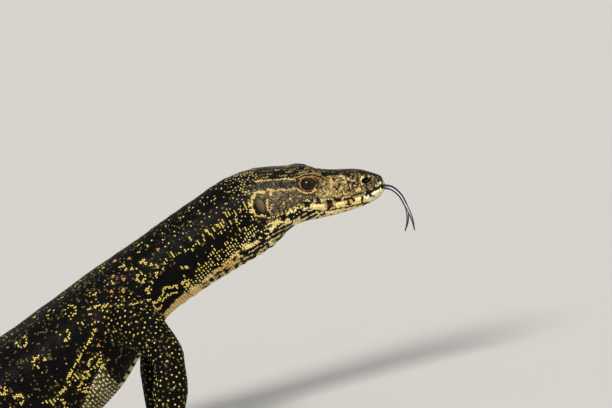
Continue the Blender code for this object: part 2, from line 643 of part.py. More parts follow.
def make_head():
    """The head with sockets, nostrils and ears cut in, parted from the lower jaw at the mouth."""
    head = loft("head", body_rings(head_stations(), HEAD_SIDES), "hide")
    combine(head, [make_lids(side) for side in (-1, 1)], "UNION")
    cutters = [tongue_slot()]
    drums, eyes = [], []
    for side, name in ((-1, "right"), (1, "left")):
        eye_at = beside_head(0.0, 0.2, side, -EYE_SET_IN)
        cutters.append(ball("socket", eye_at, [EYE_RADIUS + GAP] * 3, "hide", eye_turn(side), 12, 9))
        eyes.append(ball(f"eye_{name}", eye_at, [EYE_RADIUS] * 3, "eye", eye_turn(side), 12, 9))
        opening = (LID_OPENING[0] * (1 + LID_POINT / 2), LID_OPENING[1], OPENING_DEPTH)
        between_lids = beside_head(0.0, 0.2, side, LID_PROUD + OPENING_DEPTH / 2)
        cutters.append(ball("opening", between_lids, opening, "hide", eye_turn(side), 14, 8))
        nostril = beside_head(*NOSTRIL_AT, side, -0.3)
        cutters.append(ball("nostril", nostril, (NOSTRIL_RADII[0], 2.6, NOSTRIL_RADII[1]), "hide", None, 10, 6))
        ear = beside_head(*EAR_AT, side, EAR_CUP[0])
        tilt = Matrix.Rotation(math.radians(-EAR_TILT), 4, "Y")
        cutters.append(ball("ear", ear, (EAR_RADII[0], EAR_CUP[1], EAR_RADII[1]), "hide", tilt, 12, 7))
        drum = beside_head(*EAR_AT, side, -DRUM_DEPTH)
        seat = (EAR_RADII[0] * 0.62, 0.5, EAR_RADII[1] * 0.66)
        room = tuple(r + GAP for r in seat)
        cutters.append(ball("drum room", drum, room, "hide", tilt, 10, 6))
        drums.append(ball(f"eardrum_{name}", drum, seat, "eardrum", tilt, 10, 6))
    combine(head, cutters, "DIFFERENCE")
    jaw = head.copy()
    jaw.data = head.data.copy()
    jaw.name = "lower_jaw"
    bpy.context.scene.collection.objects.link(jaw)
    combine(jaw, [jaw_prism("below", -GAP / 2)], "INTERSECT")
    combine(head, [jaw_prism("below", GAP / 2)], "DIFFERENCE")
    return [head, jaw, *eyes, *drums, make_tongue()]


def stand_over_origin(objects):
    """Puts the middle of the model's footprint at the origin, with an empty that holds every node."""
    corners = np.array([v.co for obj in objects for v in obj.data.vertices])
    low, high = corners.min(0), corners.max(0)
    holder = bpy.data.objects.new("lizard", None)
    bpy.context.scene.collection.objects.link(holder)
    for obj in objects:
        obj.parent = holder
    holder.location = (-(low[0] + high[0]) / 2, -(low[1] + high[1]) / 2, -low[2])


def main():
    for obj in list(bpy.data.objects):
        bpy.data.objects.remove(obj)
    nodes = make_head() + make_body()
    for limb in LIMBS:
        nodes += make_limb(limb)
    stand_over_origin(nodes)


main()
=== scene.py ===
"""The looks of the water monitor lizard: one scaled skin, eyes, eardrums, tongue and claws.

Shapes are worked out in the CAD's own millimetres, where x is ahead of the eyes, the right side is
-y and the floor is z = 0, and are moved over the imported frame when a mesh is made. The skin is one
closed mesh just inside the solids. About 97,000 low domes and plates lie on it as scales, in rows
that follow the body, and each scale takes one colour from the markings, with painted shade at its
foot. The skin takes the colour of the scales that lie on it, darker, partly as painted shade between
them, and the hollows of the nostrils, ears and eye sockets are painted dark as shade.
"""

import math

import bpy
import numpy as np
from mathutils import Matrix, Vector
from mathutils.bvhtree import BVHTree
from mathutils.kdtree import KDTree


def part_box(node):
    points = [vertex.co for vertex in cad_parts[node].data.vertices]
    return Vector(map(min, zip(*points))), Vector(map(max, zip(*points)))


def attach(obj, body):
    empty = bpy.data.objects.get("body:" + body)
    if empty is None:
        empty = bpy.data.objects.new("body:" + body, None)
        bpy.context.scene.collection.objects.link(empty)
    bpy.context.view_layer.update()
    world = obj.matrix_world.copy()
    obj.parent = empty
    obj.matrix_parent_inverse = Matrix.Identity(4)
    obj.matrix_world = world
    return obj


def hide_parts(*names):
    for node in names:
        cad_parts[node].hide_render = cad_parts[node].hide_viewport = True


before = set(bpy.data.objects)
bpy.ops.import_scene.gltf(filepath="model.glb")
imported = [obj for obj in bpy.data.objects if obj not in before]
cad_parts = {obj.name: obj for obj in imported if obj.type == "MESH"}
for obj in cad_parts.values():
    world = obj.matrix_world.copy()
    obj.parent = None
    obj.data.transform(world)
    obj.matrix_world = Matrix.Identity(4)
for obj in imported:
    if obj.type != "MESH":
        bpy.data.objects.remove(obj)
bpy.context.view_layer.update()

MM = 0.001
TINY = 1e-12
COAT = 0.4  # the skin lies this far inside the solids

# The CAD's driving sizes
EYE_HEIGHT = 158.0
SNOUT_TO_EYE = 49.5
EYE_RADIUS = 5.9
TAIL_TIP_AT = 1215.0

# Stations along the body. at: distance back from the snout; z: height of the centre line;
# pitch: degrees that the section leans back; side, up, down: half width and the two half heights;
# corner: 2 is an ellipse, more is squarer; lean: how much narrower the top is than the middle.
BODY_STATIONS = (
    (0.0, 147.0, 0.0, 1.4, 1.3, 1.3, 2.2, 0.00),
    (0.7, 147.0, 0.0, 4.2, 4.0, 4.2, 2.3, 0.03),
    (2.6, 147.0, 0.0, 6.9, 6.3, 6.8, 2.4, 0.06),
    (6.0, 147.2, 0.0, 9.1, 8.2, 9.3, 2.5, 0.10),
    (10.5, 148.0, 0.0, 10.6, 9.9, 11.7, 2.6, 0.14),
    (16.5, 148.6, 0.0, 11.5, 11.6, 13.7, 2.7, 0.16),
    (25.5, 149.0, 0.0, 12.4, 13.0, 15.3, 2.7, 0.18),
    (34.5, 149.6, 0.0, 14.0, 14.1, 16.6, 2.7, 0.20),
    (41.5, 150.6, 0.0, 15.8, 15.2, 17.7, 2.7, 0.20),
    (47.5, 151.8, 0.0, 17.4, 16.8, 18.9, 2.7, 0.20),
    (54.5, 152.8, 0.0, 19.2, 18.0, 19.7, 2.7, 0.19),
    (61.5, 152.8, 1.0, 21.0, 19.0, 20.2, 2.6, 0.18),
    (69.5, 151.6, 3.0, 22.6, 21.8, 21.9, 2.5, 0.16),
    (81.8, 149.0, 8.0, 24.0, 26.0, 26.2, 2.4, 0.12),
    (94.5, 146.0, 14.0, 24.2, 27.3, 28.0, 2.3, 0.09),
    (121.1, 136.5, 22.0, 24.0, 27.3, 27.2, 2.2, 0.07),
    (151.8, 125.0, 23.5, 24.6, 26.5, 26.5, 2.2, 0.06),
    (172.5, 116.9, 24.0, 27.0, 26.5, 27.0, 2.2, 0.06),
    (192.8, 108.6, 24.5, 31.5, 27.0, 31.5, 2.3, 0.06),
    (227.5, 94.0, 25.0, 39.0, 27.5, 45.6, 2.3, 0.05),
    (274.6, 73.8, 23.0, 44.5, 28.6, 52.4, 2.3, 0.05),
    (319.6, 57.9, 17.0, 47.0, 29.0, 49.0, 2.3, 0.05),
    (364.6, 47.6, 10.5, 45.0, 28.0, 42.5, 2.3, 0.06),
    (409.6, 42.0, 5.0, 39.0, 26.5, 36.0, 2.2, 0.08),
    (449.6, 40.0, 2.0, 31.5, 24.5, 31.0, 2.2, 0.10),
    (477.6, 38.6, 4.0, 26.0, 23.5, 27.0, 2.2, 0.14),
    (537.6, 31.0, 9.0, 20.5, 21.5, 22.0, 2.1, 0.22),
    (607.6, 19.6, 6.0, 16.5, 19.5, 19.9, 2.1, 0.30),
    (697.6, 15.6, 1.5, 13.2, 17.8, 16.0, 2.1, 0.36),
    (807.6, 13.0, 1.0, 10.2, 15.5, 13.4, 2.1, 0.38),
    (927.6, 10.0, 1.0, 7.4, 12.2, 10.4, 2.1, 0.38),
    (1047.6, 6.7, 1.0, 4.9, 8.6, 7.1, 2.1, 0.34),
    (1147.6, 3.9, 1.0, 2.8, 5.0, 4.3, 2.1, 0.26),
    (TAIL_TIP_AT, 1.6, 1.0, 1.1, 1.8, 1.8, 2.0, 0.10),
)
SWAY_FROM, SWAY, SWAY_TURNS = 330.0, 96.0, 0.95
NECK_FROM, CHEST_FROM, BELLY_FROM, TAIL_FROM = 97.0, 168.0, 300.0, 478.0

# Places on the head, as x ahead of the eye and z above it
MOUTH_LINE = ((52.0, -11.9), (45.0, -13.3), (38.0, -14.5), (30.0, -14.9), (21.0, -15.3), (12.0, -14.8),
              (4.0, -13.2), (-3.0, -11.4), (-9.0, -10.6))
NOSTRIL_AT, NOSTRIL_RADII = (38.0, -5.9), (2.5, 1.7)
EAR_AT, EAR_RADII, EAR_TILT = (-33.4, -6.4), (3.5, 6.4), 14.0
BROW_AT, BROW_HEIGHT, ORBIT_PROUD = (-2.5, 11.0), 1.8, 2.4
EYE_AT, EYE_SET_IN = (0.0, 0.2), 2.6
EAR_CUP = (1.4, 4.6)  # how far out its middle is, and half its depth
LID_OPENING = (4.9, 4.2)
OPENING_DEPTH = 2.6
LID_HALF, LID_PROUD, LID_POINT = (1.3, 1.5), 1.4, 0.2
NOSTRIL_HOLLOW = (3.0, 3.4, 2.2)

TONGUE_ROUTE = ((39.5, -12.7, 2.0, 1.75), (47.4, -13.1, 2.0, 1.75), (53.4, -15.2, 1.9, 1.65),
                (58.0, -20.6, 1.8, 1.5), (60.8, -28.8, 1.6, 1.3))
TINE_ROUTE = ((60.2, -26.4, 0.85, 1.05), (62.0, -33.4, 0.85, 1.0), (62.9, -40.0, 0.7, 0.8),
              (62.9, -45.9, 0.3, 0.35))
TINE_ROOT_OUT, TINE_SPREAD, LEFT_TINE_BACK = 0.62, 3.4, 6.2

LIMBS = {
    "front_right": {"station": 195.0, "root": (-4.0, 6.0, 103.0), "top": (0.0, 25.0, 99.0),
                    "bend": (25.5, 63.0, 75.0), "end": (13.5, 74.0, 15.5), "heading": 10.0},
    "front_left": {"station": 195.0, "root": (-4.0, 6.0, 103.0), "top": (0.0, 25.0, 99.0),
                   "bend": (12.0, 64.0, 72.0), "end": (3.0, 77.0, 15.5), "heading": 14.0},
    "hind_right": {"station": 447.0, "root": (-2.0, 4.0, 41.0), "top": (3.0, 20.0, 42.0),
                   "bend": (34.0, 76.0, 49.0), "end": (-10.0, 98.0, 15.5), "heading": 34.0},
    "hind_left": {"station": 447.0, "root": (-2.0, 4.0, 41.0), "top": (5.0, 20.0, 42.0),
                  "bend": (46.0, 70.0, 50.0), "end": (12.0, 101.0, 15.5), "heading": 26.0},
}
LIMB_RADII = {
    "front": ((17.0, 17.5, 14.5, 11.8), (11.2, 12.2, 9.0, 7.4)),
    "hind": ((20.0, 20.0, 17.0, 12.4), (11.8, 13.0, 9.2, 7.8)),
}
LIMB_PARTS = {"front": ("upper_arm", "forearm"), "hind": ("thigh", "shin")}
PALM = {"front": (7.0, 17.0, 10.5, 5.4), "hind": (8.0, 27.0, 11.0, 5.8)}
TOES = {
    "front": ((8.0, -7.5, -52.0, 18.0), (13.0, -5.0, -22.0, 24.0), (14.5, 0.0, 2.0, 28.0),
              (13.0, 5.0, 25.0, 29.0), (6.0, 7.5, 62.0, 20.0)),
    "hind": ((20.0, -7.5, -42.0, 19.0), (24.0, -4.5, -20.0, 28.0), (24.5, 0.0, 0.0, 36.0),
             (23.0, 4.5, 20.0, 44.0), (8.0, 8.0, 58.0, 26.0)),
}
TOE_RADIUS, TOE_TIP_RADIUS = 3.6, 2.5
TOE_SWELL = (1.0, 0.9, 1.1, 0.9, 1.08, 0.94, 0.8)
CLAW_LENGTH, CLAW_HALF = 10.5, (1.3, 1.8)
SOLE_SINK = 0.7
GAP = 0.3


# The body's formulas, as in the CAD

def smooth_rows(keys, rows, at):
    """Rows of numbers read along a smooth curve through the rows that stand at keys."""
    keys, rows = np.asarray(keys, float), np.asarray(rows, float)
    step = np.diff(keys)
    slope = np.diff(rows, axis=0) / step[:, None]
    before, after = step[:-1, None], step[1:, None]
    middle = (slope[:-1] * after + slope[1:] * before) / (before + after)
    tangent = np.vstack([slope[:1], middle, slope[-1:]])
    at = np.clip(np.atleast_1d(at), keys[0], keys[-1])
    i = np.clip(np.searchsorted(keys, at) - 1, 0, len(step) - 1)
    h = step[i][:, None]
    t = ((at - keys[i]) / step[i])[:, None]
    start = rows[i] * (2 * t**3 - 3 * t**2 + 1) + tangent[i] * h * (t**3 - 2 * t**2 + t)
    end = rows[i + 1] * (3 * t**2 - 2 * t**3) + tangent[i + 1] * h * (t**3 - t**2)
    return start + end


def sway(at):
    """How far the centre line is to the left, at these distances from the snout."""
    u = np.clip((np.asarray(at, float) - SWAY_FROM) / (TAIL_TIP_AT - SWAY_FROM), 0, 1)
    return SWAY * u**0.8 * np.sin(2 * math.pi * SWAY_TURNS * u)


def centre_line():
    """Distances from the snout, and the centre line's points there."""
    at = np.arange(0.0, TAIL_TIP_AT + 0.5, 1.0)
    keys = [row[0] for row in BODY_STATIONS]
    z = smooth_rows(keys, [row[1:2] for row in BODY_STATIONS], at)[:, 0]
    y = sway(at)
    forward = np.sqrt(np.clip(1.0 - np.diff(y) ** 2 - np.diff(z) ** 2, 0.2, 1.0))
    x = SNOUT_TO_EYE - np.concatenate([[0.0], np.cumsum(forward)])
    return at, np.stack([x, y, z], 1)


LINE_AT, LINE = centre_line()
STATION_KEYS = [row[0] for row in BODY_STATIONS]
STATION_ROWS = [row[2:] for row in BODY_STATIONS]


def body_frame(at):
    """Centre, the directions to the right side, up and ahead, and the other columns, at a station."""
    centre = np.array([np.interp(at, LINE_AT, LINE[:, i]) for i in range(3)])
    row = smooth_rows(STATION_KEYS, STATION_ROWS, at)[0]
    yaw = math.atan2(float(sway(at - 1.0) - sway(at + 1.0)), 2.0)
    pitch = math.radians(row[0])
    ahead = np.array([math.cos(yaw) * math.cos(pitch), math.sin(yaw) * math.cos(pitch), math.sin(pitch)])
    right = np.array([math.sin(yaw), -math.cos(yaw), 0.0])
    return centre, right, np.cross(right, ahead), ahead, row[1:]


def section_points(sides, side, up, down, corner, lean):
    """Offsets to the right and up round one section of the body."""
    angle = np.arange(sides) * 2 * math.pi / sides
    c, s = np.cos(angle), np.sin(angle)
    across = np.sign(c) * np.abs(c) ** (2 / corner) * side
    rise = np.abs(s) ** (2 / corner)
    across = across * np.where(s > 0, 1 - lean * rise, 1.0)
    return across, np.where(s > 0, rise * up, -rise * down)


def hump(value, wide):
    """1 where the value is 0, and close to 0 two widths away from there."""
    return np.exp(-((value / wide) ** 2))


def bump(distance_x, distance_z, wide_x, wide_z):
    return np.exp(-((distance_x / wide_x) ** 2) - (distance_z / wide_z) ** 2)


def wave(value, length):
    return np.sin(2 * math.pi * value / length)


def ease(value, start, end):
    """0 at start, 1 at end, smooth between."""
    t = np.clip((np.asarray(value, float) - start) / (end - start), 0, 1)
    return t * t * (3 - 2 * t)


def unit(vectors):
    """Rows of vectors, each made one long."""
    return vectors / np.maximum(np.linalg.norm(vectors, axis=1), TINY)[:, None]


def face_normals(points, faces):
    """A normal for each triangle, as long as twice its area."""
    corners = points[faces]
    return np.cross(corners[:, 1] - corners[:, 0], corners[:, 2] - corners[:, 0])


def tree_of(points):
    """A search tree over points."""
    tree = KDTree(len(points))
    for i, p in enumerate(points):
        tree.insert(p, i)
    tree.balance()
    return tree


def mouth_height(x):
    line = MOUTH_LINE[::-1]
    return np.interp(x, [p[0] for p in line], [p[1] for p in line])


def head_relief(x, y, z):
    """How far the head stands out from its plain loft at points given from between the eyes."""
    away = np.clip(np.abs(y) / 9.0, 0, 1) ** 2
    brow = BROW_HEIGHT * bump(x - BROW_AT[0], z - BROW_AT[1], 10.0, 4.0)
    canthus = 0.7 * bump(x - 20.0, z + 0.5, 14.0, 2.6)
    jowl = 1.8 * bump(x + 23.0, z + 9.0, 11.0, 10.0)
    nostril = 0.7 * bump(x - NOSTRIL_AT[0], z - NOSTRIL_AT[1], 4.5, 3.6)
    in_mouth = np.clip((x + 10.0) / 8.0, 0, 1)
    over_mouth = z - mouth_height(x)
    lips = 0.7 * in_mouth * (hump(over_mouth - 2.6, 2.0) + hump(over_mouth + 2.4, 1.8))
    orbit = ORBIT_PROUD * bump(x + 0.5, z - 2.5, 11.0, 7.5)
    return away * (brow + canthus + jowl + nostril + lips + orbit)


def half_width_at(x, z):
    """The head's half width at x ahead of the eye and z above it, before its relief."""
    _, _, _, _, (side, up, down, corner, lean) = body_frame(SNOUT_TO_EYE - x)
    centre_z = np.interp(SNOUT_TO_EYE - x, LINE_AT, LINE[:, 2]) - EYE_HEIGHT
    rise = z - centre_z
    share = min(abs(rise) / (up if rise > 0 else down), 0.98)
    wide = side * (1 - share**corner) ** (1 / corner)
    return wide * (1 - lean * share) if rise > 0 else wide


def beside_head(x, z, side, proud=0.0):
    """A point on the head's side, proud of it or, where negative, inside it."""
    return np.array([x, side * (half_width_at(x, z) + proud), EYE_HEIGHT + z])


def eye_place(side, proud=-EYE_SET_IN):
    """The middle of an eyeball or, with another proud, a point above it."""
    return beside_head(*EYE_AT, side, proud)


def ear_turn():
    return Matrix.Rotation(math.radians(-EAR_TILT), 4, "Y")


def tube_rings(points, halves, sides, side_axis, grow=0.0):
    """Rings along a route. halves: half width and half height at each point of it."""
    points = np.asarray(points, float)
    tangent = unit(np.gradient(points, axis=0))
    across = np.array(side_axis, float)
    frames = []
    for t in tangent[::-1]:
        across = across - across.dot(t) * t
        across = across / np.linalg.norm(across)
        frames.append(across)
    frames = frames[::-1]
    angle = np.arange(sides) * 2 * math.pi / sides
    rings = []
    for p, t, right, (wide, high) in zip(points, tangent, frames, halves):
        upward = np.cross(right, t)
        rings.append(p + np.outer(np.cos(angle) * (wide + grow), right)
                     + np.outer(np.sin(angle) * (high + grow), upward))
    return np.array(rings)


def route(points, sizes, count):
    """Points and sizes at even steps along a smooth curve through these points."""
    points, sizes = np.asarray(points, float), np.asarray(sizes, float)
    keys = np.concatenate([[0.0], np.cumsum(np.linalg.norm(np.diff(points, axis=0), axis=1))])
    at = np.linspace(0.0, keys[-1], count)
    both = smooth_rows(keys, np.hstack([points, sizes]), at)
    return both[:, :3], both[:, 3:]


def rounded_end(points, sizes):
    """Adds a round end past the last point of a route of round sections."""
    ahead = points[-1] - points[-2]
    ahead = ahead / np.linalg.norm(ahead)
    radius = sizes[-1][0]
    turns = np.radians((14, 28, 41, 53, 64, 74, 82, 87))
    tail = [points[-1] + ahead * radius * math.sin(a) for a in turns]
    shrink = [np.array([radius * math.cos(a)] * 2) for a in turns]
    return np.vstack([points, tail]), np.vstack([sizes, shrink])


def limb_kind(limb):
    return limb.split("_")[0]


def limb_place(limb, key):
    """A joint of a limb in the world, from its place ahead of and out from the body's middle."""
    spec = LIMBS[limb]
    centre, right, _, ahead, _ = body_frame(spec["station"])
    flat = np.array([ahead[0], ahead[1], 0.0]) / math.hypot(ahead[0], ahead[1])
    out = right if limb.endswith("right") else -right
    forward, outward, height = spec[key]
    place = centre + flat * forward + out * outward
    return np.array([place[0], place[1], height]), flat, out


def foot_axes(limb):
    """The foot's own directions: ahead along it, and outwards across it."""
    _, flat, out = limb_place(limb, "end")
    turn = math.radians(LIMBS[limb]["heading"])
    return (flat * math.cos(turn) + out * math.sin(turn),
            out * math.cos(turn) - flat * math.sin(turn))


# Smooth noise, the same on every run

def mixed(key):
    """Numbers from 0 to 1 from whole numbers, with no order to be seen in them."""
    key = np.asarray(key, np.int64) & 0xFFFFFFFF
    key = (key ^ (key >> 15)) * 2246822519 & 0xFFFFFFFF
    key = (key ^ (key >> 13)) * 3266489917 & 0xFFFFFFFF
    return ((key ^ (key >> 16)) & 0xFFFFFFFF) / 0xFFFFFFFF


def lattice_noise(points, seed):
    """Smooth noise from -1 to 1 with a grain of one unit."""
    points = np.asarray(points, float)
    cell = np.floor(points).astype(np.int64)
    t = points - cell
    t = t * t * (3 - 2 * t)
    total = np.zeros(len(points))
    for corner in range(8):
        step = np.array([corner & 1, corner >> 1 & 1, corner >> 2 & 1])
        key = (cell + step) * np.array([73856093, 19349663, 83492791])
        value = mixed(key[:, 0] ^ key[:, 1] ^ key[:, 2] ^ (seed * 2654435761)) * 2 - 1
        total += value * np.prod(np.where(step, t, 1 - t), axis=1)
    return total


# The skin: one loft from snout to tail tip, joined with the limbs

COLUMNS_UP, COLUMNS_DOWN = 32, 24  # columns of the skin above and below the mouth line, on each side
HEAD_STEP, TRUNK_STEP, TAIL_STEP = 0.75, 2.0, 3.4
SNOUT_TO, SNOUT_RINGS = 9.8, 16  # the snout's own rings, closest together at its tip
GROOVE_DEPTH, GROOVE_HALF = 1.0, 0.5  # the mouth line
MOUTH_BACK = 62.0  # the mouth ends a little ahead of this station
LEVEL_FROM = 95.0  # from this station on the rows are counted from the middle of the side
RELIEF_TO = 100.0  # the station where the head's relief ends
FLAT_FROM = 500.0  # from this station on the tail lies flat on the floor
PROBE = 0.4  # how far to each side the skin is read for its slope
HALF_RING = np.radians(np.linspace(-90.0, 90.0, 361))


def anchor_angle(at):
    """Where the mouth line, or behind it the middle of the side, crosses the section at a station."""
    if at > NECK_FROM:
        return 0.0
    centre, _, upward, _, (_, up, down, corner, _) = body_frame(at)
    rise = np.abs(np.sin(HALF_RING)) ** (2 / corner)
    rise = np.where(HALF_RING > 0, rise * up, -rise * down)
    height = rise * upward[2] + centre[2] - EYE_HEIGHT
    over = height - mouth_height(centre[0] + rise * upward[0])
    mouth = float(np.interp(0.0, over, HALF_RING)) if over[0] < 0 < over[-1] else 0.0
    return mouth * (1 - float(ease(at, MOUTH_BACK, LEVEL_FROM)))


def wrinkles(at, point, around):
    """Folds and unevenness of the skin, in mm outwards. around: 1 at the back, 0 side, -1 belly."""
    low = ease(-around, -0.25, 0.5)
    grain = lattice_noise(point / 13.0, 3)
    fine = lattice_noise(point / 5.0, 4)
    swing = lattice_noise(point / 22.0, 5)
    neck = ease(at, 66, 82) * (1 - ease(at, 178, 200))
    throat = 0.34 * wave(at + 5.0 * swing, 8.5) * low * neck
    nape = 0.16 * wave(at + 6.0 * swing - 9.0 * around, 11.0) * (1 - low) * neck
    shoulder = -1.1 * hump(at - 181.0 + 10.0 * around + 3.0 * swing, 5.0) * ease(-around, -0.4, 0.3)
    trunk = ease(at, 225, 250) * (1 - ease(at, 415, 440))
    flank = -0.9 * hump(around + 0.33 + 0.08 * swing, 0.07) * trunk
    ribs = 0.3 * wave(at + 16.0 * around, 12.5) * trunk * hump(around, 0.5)
    rough = (0.45 * grain + 0.16 * fine) * ease(at, 60, 130) * (1 - 0.7 * ease(at, 600, 900))
    cheek = (0.12 * grain + 0.09 * fine) * (1 - ease(at, 60, 130)) * ease(at, 8, 24)
    from_eye = np.hypot((point[:, 0] + 0.3) / 1.12, point[:, 2] - EYE_HEIGHT - 0.6)
    folds = 0.30 * np.cos(2 * math.pi * (from_eye - 8.6) / 2.3) * hump(from_eye - 9.6, 1.9)
    return throat + nape + shoulder + flank + ribs + rough + cheek + folds


def half_section(at, grow):
    """Half a ring of the body, from the belly's middle up the right side, and its lengths from the anchor.

    Returns the places across and up, the arc lengths, the centre and the section's two directions."""
    centre, right, upward, _, (side, up, down, corner, lean) = body_frame(at)
    c, s = np.cos(HALF_RING), np.sin(HALF_RING)
    across = np.maximum(c, 0) ** (2 / corner) * (side + grow)
    share = np.abs(s) ** (2 / corner)
    across = across * np.where(s > 0, 1 - lean * share, 1.0)
    rise = np.where(s > 0, share * (up + grow), -share * (down + grow))
    if at < RELIEF_TO:
        place = centre + np.outer(across, right) + np.outer(rise, upward)
        stand = head_relief(place[:, 0], place[:, 1], place[:, 2] - EYE_HEIGHT)
        length = np.maximum(np.hypot(across, rise), 1e-6)
        across, rise = across * (1 + stand / length), rise * (1 + stand / length)
    if at > FLAT_FROM:
        lowest = (-grow - centre[2]) / max(upward[2], 0.5)
        rise = np.maximum(rise, lowest)
    steps = np.hypot(np.diff(across), np.diff(rise))
    length = np.concatenate([[0.0], np.cumsum(steps)])
    anchor = np.interp(anchor_angle(at), HALF_RING, length)
    return across, rise, length - anchor, centre, right, upward


def side_points(at, lengths, grow=-COAT):
    """Points on the right side and their mirror images, at arc lengths up from the anchor line."""
    across, rise, arc, centre, right, upward = half_section(at, grow)
    (a, r), (ahead_a, ahead_r), (behind_a, behind_r) = (
        (np.interp(spots, arc, across), np.interp(spots, arc, rise))
        for spots in (lengths, lengths + PROBE, lengths - PROBE))
    out = unit(np.stack([ahead_r - behind_r, behind_a - ahead_a], 1))
    around = r / np.where(r > 0, rise.max(), -rise.min())
    in_mouth = 1 - ease(at, MOUTH_BACK - 5.0, MOUTH_BACK - 1.0)
    groove = -GROOVE_DEPTH * in_mouth * hump(lengths, GROOVE_HALF)
    both = []
    for sign in (1.0, -1.0):
        place = centre + np.outer(sign * a, right) + np.outer(r, upward)
        move = groove + wrinkles(np.full(len(a), at), place, around)
        move = move * ease(np.abs(a), 0.0, 3.0)
        place = place + np.outer(out[:, 0] * move * sign, right) + np.outer(out[:, 1] * move, upward)
        if at > FLAT_FROM:
            place[:, 2] = np.maximum(place[:, 2], -grow)
        both.append(place)
    return both, around, arc


def skin_stations():
    head = np.arange(SNOUT_TO, NECK_FROM, HEAD_STEP)
    trunk = np.arange(NECK_FROM, TAIL_FROM, TRUNK_STEP)
    tail = np.linspace(TAIL_FROM, TAIL_TIP_AT, int((TAIL_TIP_AT - TAIL_FROM) / TAIL_STEP))
    snout = SNOUT_TO * np.linspace(0, 1, SNOUT_RINGS, endpoint=False) ** 2
    return np.concatenate([snout, head, trunk, tail])


def skin_ring(at):
    """One ring of the skin, with its columns closest together at the mouth line."""
    _, _, arc, _, _, _ = half_section(at, -COAT)
    close = 0.7 * (1 - float(ease(at, MOUTH_BACK, NECK_FROM)))
    up, down = np.arange(COLUMNS_UP + 1) / COLUMNS_UP, np.arange(1, COLUMNS_DOWN + 1) / COLUMNS_DOWN
    down, up = (t * (1 - close) + close * t * t * (2 - t) for t in (down[::-1], up))
    lengths = np.concatenate([arc[0] * down, arc[-1] * up])
    (right_side, left_side), _, _ = side_points(at, lengths)
    return np.vstack([right_side, left_side[-2:0:-1]])


def wall_faces(starts, afters, sides):
    """Triangles between rings of points: the first point of each ring, and of the ring after it."""
    j = np.arange(sides)
    k = (j + 1) % sides
    a, b = (starts[:, None] + j).ravel(), (starts[:, None] + k).ravel()
    c, d = (afters[:, None] + k).ravel(), (afters[:, None] + j).ravel()
    return np.vstack([np.stack([a, b, c], 1), np.stack([a, c, d], 1)])


def facing_out(points, faces):
    """A closed body's points and triangles, with the triangles turned round if it is inside out."""
    corners = points[faces]
    volume = np.einsum("ij,ij->i", corners[:, 0], np.cross(corners[:, 1], corners[:, 2])).sum()
    return points, faces if volume > 0 else faces[:, ::-1]


def tube_mesh(rings):
    """Points and triangles of a closed body through rings, with a fan over each end."""
    rings = np.asarray(rings)
    count, sides = rings.shape[:2]
    points = np.vstack([rings.reshape(-1, 3), rings[0].mean(0), rings[-1].mean(0)])
    starts = np.arange(count - 1) * sides
    first, last, end = count * sides, count * sides + 1, (count - 1) * sides
    j = np.arange(sides)
    k = (j + 1) % sides
    faces = np.vstack([
        wall_faces(starts, starts + sides, sides),
        np.stack([np.full(sides, first), k, j], 1),
        np.stack([np.full(sides, last), end + j, end + k], 1)])
    return facing_out(points, faces)


def ring_mesh(sections):
    """Points and triangles of a closed ring through sections that follow one another in a circle."""
    sections = np.asarray(sections)
    count, sides = sections.shape[:2]
    starts = np.arange(count) * sides
    return facing_out(sections.reshape(-1, 3), wall_faces(starts, np.roll(starts, -1), sides))


def object_from(name, points, faces):
    """An object from points and triangles, in the units that they come in."""
    mesh = bpy.data.meshes.new(name)
    mesh.vertices.add(len(points))
    mesh.vertices.foreach_set("co", np.asarray(points, np.float32).ravel())
    mesh.loops.add(3 * len(faces))
    mesh.loops.foreach_set("vertex_index", np.asarray(faces, np.int32).ravel())
    mesh.polygons.add(len(faces))
    mesh.polygons.foreach_set("loop_start", np.arange(len(faces), dtype=np.int32) * 3)
    mesh.update(calc_edges=True)
    mesh.polygons.foreach_set("use_smooth", np.ones(len(faces), bool))
    made = bpy.data.objects.new(name, mesh)
    bpy.context.scene.collection.objects.link(made)
    return made


def arrays_of(obj):
    """The points and triangles of an object's mesh."""
    mesh = obj.data
    mesh.calc_loop_triangles()
    points = np.empty(len(mesh.vertices) * 3, np.float32)
    mesh.vertices.foreach_get("co", points)
    faces = np.empty(len(mesh.loop_triangles) * 3, np.int32)
    mesh.loop_triangles.foreach_get("vertices", faces)
    return points.reshape(-1, 3).astype(float), faces.reshape(-1, 3)


def combined(base, others, operation):
    """Points and triangles of base after one Boolean with others, all given as points and triangles."""
    obj = object_from("base", *base)
    group = bpy.data.collections.new("others")
    bpy.context.scene.collection.children.link(group)
    made = [object_from("other", *other) for other in others]
    for other in made:
        group.objects.link(other)
    cut = obj.modifiers.new("cut", "BOOLEAN")
    cut.operation, cut.solver = operation, "MANIFOLD"
    cut.operand_type, cut.collection = "COLLECTION", group
    seen = obj.evaluated_get(bpy.context.evaluated_depsgraph_get())
    mesh = bpy.data.meshes.new_from_object(seen)
    obj.modifiers.clear()
    obj.data = mesh
    result = largest_shell(*arrays_of(obj))
    for other in [*made, obj]:
        bpy.data.objects.remove(other)
    bpy.data.collections.remove(group)
    return result


def largest_shell(points, faces):
    """Keeps the connected surface that has the most points, and drops flat triangles."""
    label = np.arange(len(points))
    edges = np.vstack([faces[:, :2], faces[:, 1:]])
    while True:
        lowest = np.minimum(label[edges[:, 0]], label[edges[:, 1]])
        before = label.copy()
        np.minimum.at(label, edges[:, 0], lowest)
        np.minimum.at(label, edges[:, 1], lowest)
        label = label[label]
        if np.array_equal(before, label):
            break
    names, counts = np.unique(label, return_counts=True)
    keep = label == names[np.argmax(counts)]
    index = np.cumsum(keep) - 1
    return points[keep], index[faces[keep[faces[:, 0]]]]


